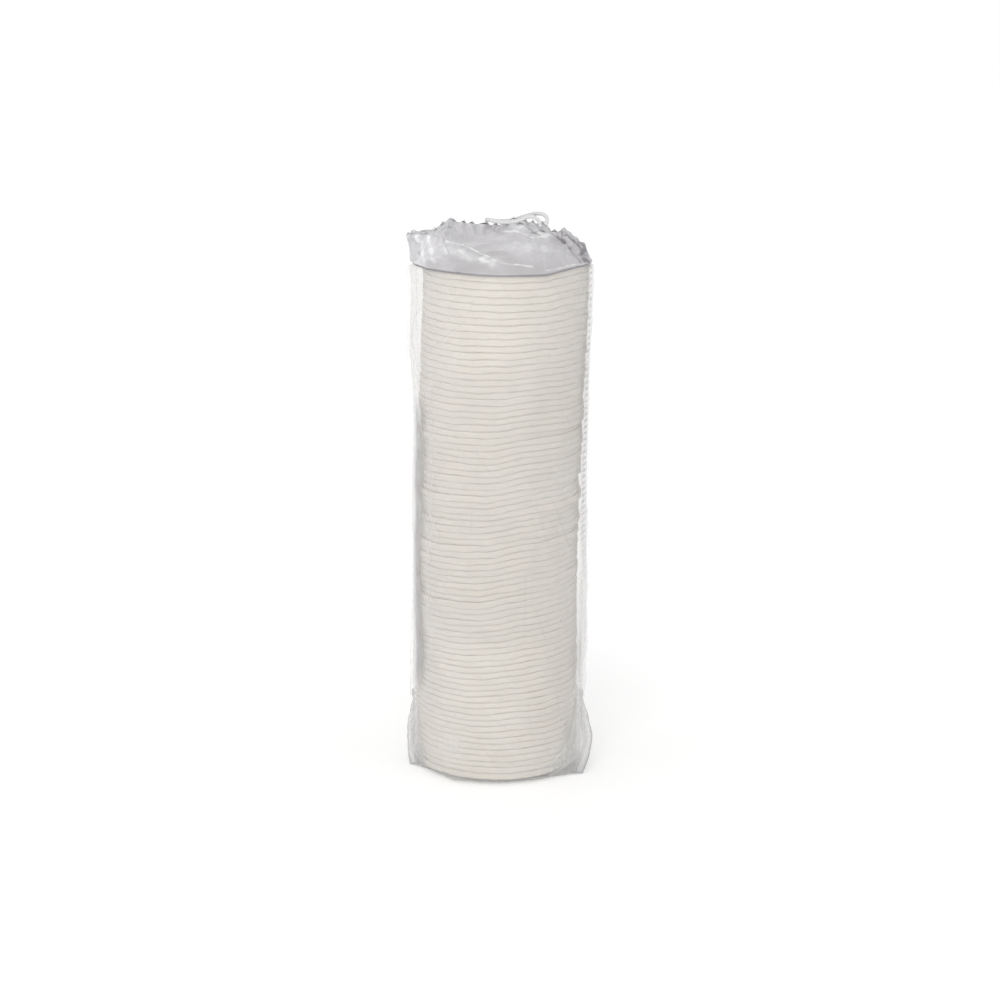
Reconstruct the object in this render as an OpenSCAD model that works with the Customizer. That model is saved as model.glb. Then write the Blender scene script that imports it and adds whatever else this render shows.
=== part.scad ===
// A standing stack of round cotton pads in a clear film sleeve, closed by a drawstring neck.
// Millimetres, Z up. The origin is the middle of the foot, and the front faces -Y.

/* [Pads] */
// Diameter of one pad
pad_d = 57; // [50:1:70]
// Thickness of one pad where the stack is pressed
pad_t = 2; // [1.4:0.1:3]
// Air between two pads
pad_gap = 0.18; // [0.14:0.02:0.4]
// Pairs of pads in the stack
pad_pairs = 40; // [20:1:44]
// How far the soft edge of a pad is rounded inwards
pad_edge = 1.2; // [0.6:0.1:2]
// Height gained where the top pads lie loose
loose_h = 2.6; // [0:0.2:5]
// Width of the border that curls up at the foot
curl_w = 8; // [5:0.5:12]
// Rise of that border on the lowest pad
curl_h = 3; // [1:0.5:5]
// Share of the air between two pads that their tilt takes up at the rim
tilt_share = 0.7; // [0:0.05:0.9]
// Sideways drift of the stack from foot to top
lean = 3.2; // [0:0.2:4]

/* [Film] */
// Wall of the film
film_t = 0.3; // [0.2:0.05:0.5]
// Air between the pads and the film
film_gap = 0.3; // [0.3:0.05:0.6]
// Slack of the film left of the upper stack
slack_left = 2.4; // [0:0.2:4]
// Slack of the film right of the lower stack
slack_right = 1.6; // [0:0.2:3]
// Depth of the wrinkles
wrinkle = 0.6; // [0:0.1:1]
// Width of the welded side seam
seam_w = 1; // [0.6:0.1:2]
// Reach of the folded corners beyond the film at the foot
ear_w = 3.4; // [2.6:0.1:6]
// Height of the folded corners
ear_h = 24; // [16:1:32]
// Half the width of a folded corner where it leaves the foot
ear_side = 15; // [12:1:18]

/* [Neck] */
// Height of the crumpled neck under its hem
neck_h = 9.5; // [6:0.5:16]
// Depth of the folds in the neck
fold_h = 0.9; // [0:0.1:1.2]
// How much longer the left side of the neck stands up before it turns in
shoulder = 1.2; // [0:0.1:2]
// Length of the pinched mouth
mouth_w = 46; // [36:1:50]
// Slot left open between the two lips of the mouth
mouth_gap = 0.4; // [0.4:0.1:1]
// Height of the hem that holds the drawstring
hem_h = 4.4; // [4:0.2:7]
// Place of the mouth, to the left of the top pad's middle
mouth_shift = 3.6; // [0:0.2:5]

/* [Drawstring] */
// Diameter of the drawstring
string_d = 1.4; // [1:0.1:1.8]
// Air between the drawstring and its channel
string_gap = 0.2; // [0.15:0.05:0.4]
// Distance from the middle of the mouth to the eyelet
eyelet_x = 16; // [12:1:17]

/* [Hidden] */
PAIR_NODES = [for (k = [1 : pad_pairs]) str("pad_pair_", k < 10 ? "0" : "", k)];
FILM_NODES = [
    "film_front_panel", "film_back_panel", "side_seam_left", "side_seam_right",
    "film_base", "foot_ear_left", "foot_ear_right", "neck_film", "mouth_hem",
    "drawstring_run", "drawstring_loop"
];

$fn = 96;
// Clearance where one piece of film meets the next
weld_gap = 0.05;
pad_r = pad_d / 2;
pad_count = 2 * pad_pairs;
// Share of the stack, from the top, that lies loose
loose_share = 0.2;
// Corners of the rounded edge of a pad
edge_turns = 6;
flat_r = pad_r - curl_w;
// Share of the height at which the pads tilt most
tilt_peak = 0.38;
// Turn from one pad to the next where it is greatest
tilt_step = asin(tilt_share * pad_gap / pad_r);
tilt_most = tilt_step * tilt_peak * pad_count / (PI / 2);
// Share of the height at which the stack starts to lean
lean_from = 0.5;
// Share of the lean by which the foot stands to the left
lean_left = 1 / 3;

wall_r = pad_r + film_gap;
foot_z = film_t + curl_h + pad_gap + pad_t / 2;
stack_top = pad_z(pad_count) - pad_gap;
ear_reach = wall_r + film_t + ear_w;
// Rows and columns of the lofted film
panel_rows = 20;
panel_cols = 20;
neck_rows = 9;
neck_cols = 56;
seam_angle = asin((film_t + weld_gap) / pad_r);
// How closely the slack keeps to the left and right edges
slack_focus = 6;
// Shares of the height over which the left slack opens, and between which the right slack lies
left_slack = [0.7, 0.85];
right_slack = [0.05, 0.6];
// Waves of the wrinkles round the film and up it
waves_round = 6;
waves_up = 2.5;
// Folds round the neck: the main ones, and the finer ones at half their depth
main_folds = 7;
fine_folds = 12;
// Share of its height by which the neck bulges before it turns in
neck_bulge = 0.13;

channel_w = string_d + 2 * string_gap;
channel_h = hem_h - 2 * film_t;
hem_w = channel_w + 2 * film_t;
bend_r = (hem_w + mouth_gap) / 2;
hem_run = mouth_w - 2 * bend_r - hem_w;
hem_z = stack_top + neck_h + weld_gap;
hem_top = hem_z + hem_h;
mouth_x = stack_x(stack_top) - mouth_shift;
// Half the distance between the two strands in the eyelet
strand_x = string_d / 2 + string_gap;
// Radius at which a strand turns up out of its channel
turn_r = hem_h / 2 - film_t;

// Height of the drawstring's route over the hem, and of the places where it humps
lie = string_d / 2 + 0.2;
// The loop's route over the hem, from the middle of the eyelet, in x, y and height
loop_route = [
    [-strand_x, 0, 0], [-1.2, 0, 1.1], [-2.3, -0.1, 2.1], [-3.8, -0.3, 2.7], [-5.5, -0.5, 2.6],
    [-7.3, -0.6, lie + 0.9], [-9.4, -0.4, lie + 0.3], [-12, -0.1, lie], [-14.6, 0, lie + 0.1],
    [-17, -0.3, lie + 0.4], [-19.2, -0.3, lie + 0.6], [-20.8, 0.6, lie + 0.7], [-21.3, 2.1, lie + 0.7],
    [-20.4, 3.6, lie + 0.5], [-18.4, 4.1, lie + 0.2], [-15.8, 3.7, lie], [-13.2, 3.2, lie],
    [-10.6, 2.9, lie + 0.2], [-8.2, 3, lie + 0.9], [-5.9, 3.2, lie + 1.6], [-3.6, 3.1, lie + 1.9],
    [-1.4, 2.5, lie + 1.8], [0.1, 1.5, lie + 1.3], [0.8, 0.5, 1.3], [strand_x, 0, 0]
];
loop_sides = 8;

// Eases from 0 to 1 while t goes from 0 to 1
function ease(t) = let (u = min(1, max(0, t))) u * u * (3 - 2 * u);
// Rises from 0 to 1 and falls back while z goes from low to high
function swell(z, low, high) = z < low || z > high ? 0 : pow(sin(180 * (z - low) / (high - low)), 2);
// Middle of the stack at height z: left of the origin at the foot, right of it at the top
function stack_x(z) = lean * (ease((z / stack_top - lean_from) / (1 - lean_from)) - lean_left);
// Height gained by loose pads below pad k
function loose(k) = loose_h * pow(max(0, 1 - (1 - k / pad_count) / loose_share), 2);
// Height of the underside of pad k at its middle, counted from 0
function pad_z(k) = film_t + pad_gap + k * (pad_t + pad_gap) + loose(k);
// Rise of the border of pad k at radius r
function curl(k, r) =
    curl_h * pow(1 - k / pad_count, 2) * pow(max(0, r - flat_r) / curl_w, 2);
// Tilt of pad k: none at the foot and the top, right side up between them
function tilt(k) =
    let (up = k / pad_count, share = up < tilt_peak ? up / tilt_peak : (1 - up) / (1 - tilt_peak))
    tilt_most * pow(sin(90 * share), 2);

// Radius of the film's inside at angle a and height z. It is even in a, so that front and back match.
function film_r(a, z) =
    let (
        free = ease((z - foot_z) / ear_h),
        up = z / stack_top,
        opening = ease((up - left_slack[0]) / (left_slack[1] - left_slack[0])),
        left = slack_left * pow(max(0, -cos(a)), slack_focus) * opening,
        right = slack_right * pow(max(0, cos(a)), slack_focus) * swell(up, right_slack[0], right_slack[1]),
        ripple = wrinkle * (1 + cos(waves_round * a) * cos(360 * waves_up * up)) / 2
    )
    wall_r + free * (left + right + ripple);
function film_point(a, z, grow) =
    [stack_x(z) + (film_r(a, z) + grow) * cos(a), (film_r(a, z) + grow) * sin(a), z];
// Height of row i of the side film
function row_z(i) = foot_z + weld_gap + (stack_top - foot_z - weld_gap) * i / panel_rows;
// Heights of the side seam, from the folded corner to the neck
function seam_heights() = concat(
    [ear_h + weld_gap],
    [for (i = [0 : panel_rows]) if (row_z(i) > ear_h + film_t) row_z(i)]
);

// Cross-section of one pad, in radius and height above its own middle's underside
module pad_outline(k) {
    deep = pad_z(k + 1) - pad_gap - pad_z(k);
    edge_r = pad_r - pad_edge;
    mid_r = (flat_r + edge_r) / 2;
    under = [[0, 0], [flat_r, 0], [mid_r, curl(k, mid_r)]];
    over = [
        [mid_r, deep + curl(k + 1, mid_r)],
        [flat_r, deep],
        [0, deep]
    ];
    low = curl(k, edge_r);
    high = deep + curl(k + 1, edge_r);
    rim = [for (i = [0 : edge_turns])
        let (a = -90 + 180 * i / edge_turns)
        [edge_r + pad_edge * cos(a), (low + high) / 2 + (high - low) / 2 * sin(a)]
    ];
    polygon(concat(under, rim, over));
}

module pad(k) {
    translate([stack_x(pad_z(k)), 0, pad_z(k)])
        rotate([0, -tilt(k), 0])
            rotate_extrude()
                pad_outline(k);
}

// Two pads that lie on each other, as two solids
module pad_pair(n) {
    color("ivory")
        for (k = [2 * n, 2 * n + 1])
            pad(k);
}

function two_faces(a, b, c, d) = [[a, b, c], [a, c, d]];

// A closed sheet between an inner and an outer grid of points, open at its sides or joined to a ring
module sheet(inner, outer, ring = false) {
    rows = len(inner);
    cols = len(inner[0]);
    last = ring ? cols - 1 : cols - 2;
    total = rows * cols;
    function at(r, c) = r * cols + c % cols;
    walls = [for (r = [0 : rows - 2], c = [0 : last]) each concat(
        two_faces(at(r, c), at(r, c + 1), at(r + 1, c + 1), at(r + 1, c)),
        two_faces(total + at(r, c), total + at(r + 1, c), total + at(r + 1, c + 1), total + at(r, c + 1))
    )];
    hems = [for (c = [0 : last]) each concat(
        two_faces(at(0, c + 1), at(0, c), total + at(0, c), total + at(0, c + 1)),
        two_faces(at(rows - 1, c), at(rows - 1, c + 1), total + at(rows - 1, c + 1), total + at(rows - 1, c))
    )];
    sides = ring ? [] : [for (r = [0 : rows - 2]) each concat(
        two_faces(at(r, 0), at(r + 1, 0), total + at(r + 1, 0), total + at(r, 0)),
        two_faces(at(r + 1, cols - 1), at(r, cols - 1), total + at(r, cols - 1), total + at(r + 1, cols - 1))
    )];
    polyhedron([for (grid = [inner, outer], row = grid) each row], concat(walls, hems, sides));
}

// Half of the side film, from one side seam round to the other
module film_panel(start) {
    sweep = 180 - 2 * seam_angle;
    function grid(grow) = [for (i = [0 : panel_rows]) [for (j = [0 : panel_cols])
        film_point(start + seam_angle + sweep * j / panel_cols, row_z(i), grow)
    ]];
    color("gainsboro")
        sheet(grid(0), grid(film_t));
}

// A welded seam that stands out where front and back film meet; side is 1 on the right, -1 on the left
module side_seam(side) {
    a = side > 0 ? 0 : 180;
    rows = seam_heights();
    inner = [for (z = rows) film_point(a, z, 0)];
    outer = [for (i = [len(rows) - 1 : -1 : 0]) film_point(a, rows[i], film_t + seam_w)];
    color("whitesmoke")
        rotate([90, 0, 0])
            linear_extrude(2 * film_t, center = true)
                polygon([for (p = concat(inner, outer)) [p.x, p.z]]);
}

// The film under the stack: flat in the middle and curled up round the lowest pad
module film_base() {
    edge_r = pad_r - pad_edge;
    mid_r = (flat_r + edge_r) / 2;
    rise = foot_z - film_t - curl(0, edge_r);
    function corner(grow) = [for (i = [1 : edge_turns])
        let (a = 90 * i / edge_turns)
        [
            edge_r + (wall_r - edge_r + grow) * sin(a),
            foot_z - (rise + grow) * cos(a)
        ]
    ];
    inner = [[0, film_t], [flat_r, film_t], [mid_r, film_t + curl(0, mid_r)], [edge_r, foot_z - rise]];
    outer = [for (p = inner) p - [0, film_t]];
    around = concat(inner, corner(0));
    back = concat(outer, corner(film_t));
    color("gainsboro")
        translate([stack_x(0), 0, 0])
            rotate_extrude()
                polygon(concat(around, [for (i = [len(back) - 1 : -1 : 0]) back[i]]));
}

// The corner of the sleeve folded out at the foot: a web that stands up and a flap on the ground
module foot_ear(side) {
    under_r = flat_r + curl_w * sqrt((film_t + weld_gap) / curl_h);
    top_x = abs(film_point(side > 0 ? 0 : 180, ear_h, film_t + seam_w).x);
    wall_x = side * stack_x(0) + wall_r;
    color("whitesmoke")
        scale([side, 1, 1]) {
            translate([0, 0, film_t / 2])
                linear_extrude(film_t, center = true)
                    difference() {
                        polygon([
                            [0, -ear_side], [ear_reach - ear_side / 2, -ear_side], [ear_reach, -ear_side / 2],
                            [ear_reach, ear_side / 2], [ear_reach - ear_side / 2, ear_side], [0, ear_side]
                        ]);
                        translate([side * stack_x(0), 0])
                            circle(under_r);
                    }
            rotate([90, 0, 0])
                linear_extrude(2 * film_t, center = true)
                    polygon([
                        [wall_x + film_t + weld_gap, film_t], [ear_reach, film_t],
                        [ear_reach - film_t, ear_h / 2], [top_x, ear_h],
                        [wall_x, ear_h], [wall_x, foot_z + weld_gap],
                        [wall_x + film_t + weld_gap, foot_z + weld_gap]
                    ]);
        }
}

// The crumpled neck: up from the top pad's rim, in over the pad and up again to the pinched mouth
module neck_film() {
    function neck_point(a, t, grow) =
        let (
            rim = film_point(a, stack_top, grow),
            lip = [mouth_x + (mouth_w / 2 + grow) * cos(a), (hem_w + mouth_gap + grow) * sin(a), 0],
            inward = ease(pow(t, 1 + shoulder * max(0, -cos(a)))),
            climb = t + neck_bulge * sin(360 * t),
            folds = cos(main_folds * a) + cos(fine_folds * a) / 2,
            crumple = fold_h * folds * pow(sin(180 * t), 2) + grow * sin(180 * t)
        )
        [
            rim.x + (lip.x - rim.x) * inward,
            rim.y + (lip.y - rim.y) * inward,
            stack_top + weld_gap + (neck_h - weld_gap) * climb + crumple
        ];
    function grid(grow) = [for (i = [0 : neck_rows]) [for (j = [0 : neck_cols - 1])
        neck_point(360 * j / neck_cols, i / neck_rows, grow)
    ]];
    color("lightgray")
        sheet(grid(0), grid(film_t), ring = true);
}

// An oval as a polygon
module oval(w, h) {
    corners = 12;
    polygon([for (i = [0 : corners - 1])
        let (a = 360 * i / corners)
        [w / 2 * cos(a), h / 2 * sin(a)]
    ]);
}

// Sweeps a flat shape round the pinched mouth: two straight runs and two tight bends
module round_mouth() {
    for (end = [-1, 1])
        translate([end * hem_run / 2, 0, 0])
            rotate([0, 0, end > 0 ? -90 : 90])
                rotate_extrude(angle = 180)
                    translate([bend_r, 0])
                        children();
    for (run = [-1, 1])
        translate([0, run * bend_r, 0])
            rotate([90, 0, 90])
                linear_extrude(hem_run, center = true)
                    children();
}

// The folded hem of the mouth, with the drawstring's channel inside and an eyelet in its front lip
module mouth_hem() {
    color("lightgray")
        translate([mouth_x, 0, hem_z + hem_h / 2])
            difference() {
                round_mouth()
                    oval(hem_w, hem_h);
                round_mouth()
                    oval(channel_w, channel_h);
                translate([eyelet_x, -bend_r, hem_h / 2])
                    cube([2 * (strand_x + channel_w / 2), channel_w, hem_h], center = true);
            }
}

// The drawstring inside its channel, with both ends turned up in the eyelet
module drawstring_run() {
    color("white")
        translate([mouth_x, 0, hem_z + hem_h / 2]) {
            difference() {
                round_mouth()
                    circle(d = string_d);
                translate([eyelet_x, -bend_r, 0])
                    cube([2 * (strand_x + turn_r), channel_w, hem_h], center = true);
            }
            for (side = [-1, 1])
                translate([eyelet_x + side * (strand_x + turn_r), -bend_r, turn_r])
                    rotate([90, 0, 0])
                        rotate_extrude(angle = 90, start = side > 0 ? 180 : 270)
                            translate([turn_r, 0])
                                circle(d = string_d);
            for (side = [-1, 1])
                translate([eyelet_x + side * strand_x, -bend_r, turn_r])
                    cylinder(d = string_d, h = hem_h / 2 - turn_r);
        }
}

function heading(route, i) =
    let (
        last = len(route) - 1,
        way = i == 0 || i == last ? [0, 0, i == 0 ? 1 : -1] : route[i + 1] - route[i - 1]
    )
    way / norm(way);
// Side vectors carried along a route without twist
function carried(route, i = 0, side = [0, 1, 0]) =
    i >= len(route) ? [] :
    let (
        way = heading(route, i),
        flat = side - way * (side * way),
        now = flat / norm(flat)
    )
    concat([now], carried(route, i + 1, now));

// A round tube along a route, as one polyhedron
module tube(route, d, corners) {
    sides = carried(route);
    rings = len(route);
    points = [for (i = [0 : rings - 1], j = [0 : corners - 1])
        let (
            a = 360 * j / corners,
            up = cross(heading(route, i), sides[i])
        )
        route[i] + d / 2 * (cos(a) * sides[i] + sin(a) * up)
    ];
    function at(i, j) = i * corners + j % corners;
    skin = [for (i = [0 : rings - 2], j = [0 : corners - 1]) each
        two_faces(at(i, j), at(i + 1, j), at(i + 1, j + 1), at(i, j + 1))
    ];
    caps = [[for (j = [0 : corners - 1]) j], [for (j = [corners - 1 : -1 : 0]) at(rings - 1, j)]];
    polyhedron(points, concat(skin, caps));
}

// The pull loop: out of the eyelet, along the top of the hem and back
module drawstring_loop() {
    color("white")
        translate([mouth_x + eyelet_x, -bend_r, hem_top])
            tube(loop_route, string_d, loop_sides);
}

film_panel(180);  // film_front_panel
film_panel(0);  // film_back_panel
side_seam(-1);  // side_seam_left
side_seam(1);  // side_seam_right
film_base();
foot_ear(-1);  // foot_ear_left
foot_ear(1);  // foot_ear_right
neck_film();
mouth_hem();
drawstring_run();
drawstring_loop();
for (n = [0 : pad_pairs - 1])
    pad_pair(n);
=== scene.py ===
import logging
import math
import random
from dataclasses import dataclass
from enum import Enum
from functools import cached_property
from typing import Any, Mapping, Sequence

import bmesh
import bpy
import numpy as np
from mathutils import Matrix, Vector, noise


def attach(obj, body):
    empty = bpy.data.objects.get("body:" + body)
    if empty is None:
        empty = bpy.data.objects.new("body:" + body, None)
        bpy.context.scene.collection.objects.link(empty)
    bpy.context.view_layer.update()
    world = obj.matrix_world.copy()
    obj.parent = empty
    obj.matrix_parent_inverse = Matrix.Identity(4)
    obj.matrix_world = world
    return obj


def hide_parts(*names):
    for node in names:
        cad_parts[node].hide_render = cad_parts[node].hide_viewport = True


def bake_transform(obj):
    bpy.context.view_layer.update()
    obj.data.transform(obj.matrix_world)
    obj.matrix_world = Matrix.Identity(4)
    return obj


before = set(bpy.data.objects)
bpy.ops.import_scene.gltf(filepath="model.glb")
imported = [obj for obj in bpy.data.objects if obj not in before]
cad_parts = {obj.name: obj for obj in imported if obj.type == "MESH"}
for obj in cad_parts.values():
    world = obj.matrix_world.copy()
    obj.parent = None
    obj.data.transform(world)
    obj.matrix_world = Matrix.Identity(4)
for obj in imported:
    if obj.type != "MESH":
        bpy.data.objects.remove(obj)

LOG = logging.getLogger("cotton_pad_holder")
MM = 0.001
# Names of the attributes that a film's material reads: milky film with painted highlights, and painted shade
# at folds
MILK_GLINT = "milk_glint"
FOLD_SHADE = "fold"
# Distance, in facet sizes, at which a facet has its full height, and width of the crack between two
FACET_REACH = 1.3
CRACK_W = 0.07
# Points closer than this are joined, in a mesh in metres and in one in millimetres
JOIN_M = 1e-6
JOIN_MM = 1e-4


class Side(Enum):
    """The left and right side of the sleeve, as the sign of X."""

    LEFT = -1
    RIGHT = 1

    @property
    def label(self) -> str:
        """The side's name in the names of pieces."""
        return self.name.lower()

    @property
    def angle(self) -> float:
        """Angle round the sleeve at which the side lies."""
        return 0.0 if self is Side.RIGHT else 180.0


class Wall(Enum):
    """The two halves of the side film, by the angle at which each starts."""

    FRONT = 180.0
    BACK = 0.0


def ease(t: Any) -> Any:
    """Eases from 0 to 1 while t goes from 0 to 1."""
    u = np.clip(t, 0.0, 1.0)
    return u * u * (3.0 - 2.0 * u)


def swell(t: Any, low: float, high: float) -> Any:
    """Rises from 0 to 1 and falls back while t goes from low to high."""
    return np.sin(np.pi * np.clip((t - low) / (high - low), 0.0, 1.0)) ** 2


def bell(t: Any, middle: float, width: float) -> Any:
    """A rounded peak of 1 at the middle, which is nearly gone at twice the width."""
    return np.exp(-((t - middle) / width) ** 2)


def mix(a: Any, b: Any, share: Any) -> Any:
    """A value between a and b."""
    return a + (b - a) * share


def cos_deg(angle: Any) -> Any:
    """Cosine of an angle in degrees."""
    return np.cos(np.radians(angle))


def sin_deg(angle: Any) -> Any:
    """Sine of an angle in degrees."""
    return np.sin(np.radians(angle))


def points_of(x: Any, y: Any, z: Any) -> np.ndarray:
    """Rows of points from their coordinates, each an array or a single value."""
    return np.stack(np.broadcast_arrays(x, y, z), axis=1).astype(float)


def hills(points: np.ndarray, size: float, seed: float = 0.0) -> np.ndarray:
    """Smooth noise from about -1 to 1 at each point, with hills size apart."""
    return np.array([noise.noise(p) for p in points / size + seed])


def facets(points: np.ndarray, size: float, seed: float = 0.0) -> np.ndarray:
    """Height from about -0.5 to 0.5 of film crumpled into flat facets about size wide, with sharp creases."""
    found = [noise.voronoi(p, distance_metric="MANHATTAN")[0][0] for p in points / size + seed]
    return np.minimum(np.array(found) / FACET_REACH, 1.0) - 0.5


def cracks(points: np.ndarray, size: float, seed: float = 0.0) -> np.ndarray:
    """Sharp lines, from 0 to 1, between the flat facets of crumpled film."""
    found = [noise.voronoi(p, distance_metric="DISTANCE")[0][:2] for p in points / size + seed]
    near = np.array([second - first for first, second in found])
    return bell(near, 0.0, CRACK_W)


@dataclass(frozen=True)
class Stack:
    """The stack of pads and the sleeve round it, with the sizes of the solids, in millimetres."""

    pad_d: float = 57.0
    pad_t: float = 2.0
    pad_gap: float = 0.18
    pairs: int = 40
    loose_h: float = 2.6
    loose_share: float = 0.2
    curl_w: float = 8.0
    curl_h: float = 3.0
    tilt_share: float = 0.7
    tilt_peak: float = 0.38
    lean: float = 3.2
    lean_from: float = 0.5
    lean_left: float = 1 / 3
    film_t: float = 0.3
    film_gap: float = 0.3
    slack_left: float = 2.4
    slack_right: float = 1.6
    ear_h: float = 24.0
    ear_w: float = 3.4
    neck_h: float = 9.5
    hem_h: float = 4.4
    hem_w: float = 2.4
    mouth_w: float = 46.0
    mouth_gap: float = 0.4
    mouth_shift: float = 3.6
    # Slack of the film at each side: how narrow it is, and the shares of the height over which it opens
    slack_focus: int = 6
    left_slack_from: float = 0.7
    left_slack_fade: float = 0.15
    right_slack_from: float = 0.05
    right_slack_to: float = 0.6
    # Share of the height above which the soft front rim gives way, and how far back it does
    droop_from: float = 0.8
    droop_fade: float = 0.2
    droop_back: float = 14.0
    # X and height of the drooping rim across the front: it reads as three straight folds
    rim_line: tuple[tuple[float, float], ...] = (
        (-27.0, 0.0), (-24.0, -0.6), (-15.0, -0.7), (-8.0, -0.9),
        (15.5, -1.1), (20.0, -0.3), (25.0, 0.4), (29.0, 0.5),
    )

    @cached_property
    def pad_r(self) -> float:
        """Radius of a pad."""
        return self.pad_d / 2

    @cached_property
    def count(self) -> int:
        """Number of pads."""
        return 2 * self.pairs

    @cached_property
    def wall_r(self) -> float:
        """Inner radius of the film where it lies closest to the pads."""
        return self.pad_r + self.film_gap

    @cached_property
    def flat_r(self) -> float:
        """Radius inside which the lowest pad lies flat."""
        return self.pad_r - self.curl_w

    @cached_property
    def foot_z(self) -> float:
        """Height at which the side film starts."""
        return self.film_t + self.curl_h + self.pad_gap + self.pad_t / 2

    @cached_property
    def top(self) -> float:
        """Height of the top pad's upper face."""
        return self.pad_z(self.count) - self.pad_gap

    @cached_property
    def hem_top(self) -> float:
        """Height of the hem's upper edge."""
        return self.top + self.neck_h + self.hem_h

    @cached_property
    def mouth_x(self) -> float:
        """Middle of the pinched mouth."""
        return self.x_at(self.top) - self.mouth_shift

    @cached_property
    def lip_y(self) -> float:
        """Distance of each lip's middle from the middle of the mouth."""
        return (self.hem_w + self.mouth_gap) / 2

    @cached_property
    def ear_reach(self) -> float:
        """Distance of a folded corner's tip from the origin."""
        return self.wall_r + self.film_t + self.ear_w

    def x_at(self, z: Any) -> Any:
        """Middle of the stack at height z."""
        return self.lean * (ease((z / self.top - self.lean_from) / (1 - self.lean_from)) - self.lean_left)

    def pad_z(self, k: float) -> float:
        """Height of the underside of pad k at its middle."""
        lying_loose = max(0.0, 1 - (1 - k / self.count) / self.loose_share)
        return self.film_t + self.pad_gap + k * (self.pad_t + self.pad_gap) + self.loose_h * lying_loose ** 2

    def curl(self, k: float, r: Any) -> Any:
        """Rise of the border of pad k at radius r."""
        return self.curl_h * (1 - k / self.count) ** 2 * (np.maximum(0.0, r - self.flat_r) / self.curl_w) ** 2

    def tilt(self, k: float) -> float:
        """Tilt of pad k in degrees, right side up."""
        step = math.asin(self.tilt_share * self.pad_gap / self.pad_r)
        most = math.degrees(step) * self.tilt_peak * self.count / (math.pi / 2)
        up = k / self.count
        share = up / self.tilt_peak if up < self.tilt_peak else (1 - up) / (1 - self.tilt_peak)
        return most * sin_deg(90 * share) ** 2

    def droop(self, x: Any, y: Any, z: Any) -> Any:
        """Height by which the upper pads' front rim and its film are moved. Below 0 is down."""
        high = ease((z / self.top - self.droop_from) / self.droop_fade)
        return high * ease(-y / self.droop_back) * np.interp(x, *zip(*self.rim_line))

    def film_r(self, angle: Any, z: Any) -> Any:
        """Radius of the film's inside at an angle in degrees and a height, without its wrinkles."""
        up = z / self.top
        free = ease((z - self.foot_z) / self.ear_h)
        leftwards = np.maximum(0.0, -cos_deg(angle)) ** self.slack_focus
        rightwards = np.maximum(0.0, cos_deg(angle)) ** self.slack_focus
        left = self.slack_left * leftwards * ease((up - self.left_slack_from) / self.left_slack_fade)
        right = self.slack_right * rightwards * swell(up, self.right_slack_from, self.right_slack_to)
        return self.wall_r + free * (left + right)


STACK = Stack()


def colour(text: str) -> tuple[float, float, float, float]:
    """Turns an sRGB hex colour such as "#dcd6ce" to Blender's linear values.

    Args:
        text: the colour as a hash sign and six hex digits.

    Returns:
        Red, green, blue and an alpha of 1.
    """
    parts = [int(text[i:i + 2], 16) / 255 for i in (1, 3, 5)]
    linear = [c / 12.92 if c <= 0.04045 else ((c + 0.055) / 1.055) ** 2.4 for c in parts]
    return (*linear, 1.0)


def add_node(
    tree: bpy.types.NodeTree,
    kind: str,
    settings: Mapping[str, Any] | None = None,
    inputs: Mapping[str | int, Any] | None = None,
) -> bpy.types.Node:
    """Adds a node with its settings, values and links.

    Args:
        tree: the material's or world's nodes.
        kind: the node's type, such as "ShaderNodeBump".
        settings: the node's own options.
        inputs: for each input, by name or number, a value or the output to link to it.

    Returns:
        The new node.
    """
    node = tree.nodes.new(kind)
    for name, value in (settings or {}).items():
        setattr(node, name, value)
    for name, value in (inputs or {}).items():
        socket = node.inputs[name]
        if isinstance(value, bpy.types.NodeSocket):
            tree.links.new(value, socket)
        else:
            socket.default_value = value
    return node


def new_material(name: str) -> tuple[bpy.types.Material, bpy.types.NodeTree, bpy.types.Node]:
    """Makes an empty node material.

    Args:
        name: the material's name.

    Returns:
        The material, its nodes and its output node.
    """
    made = bpy.data.materials.new(name)
    made.use_nodes = True
    tree = made.node_tree
    tree.nodes.clear()
    return made, tree, tree.nodes.new("ShaderNodeOutputMaterial")


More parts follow.
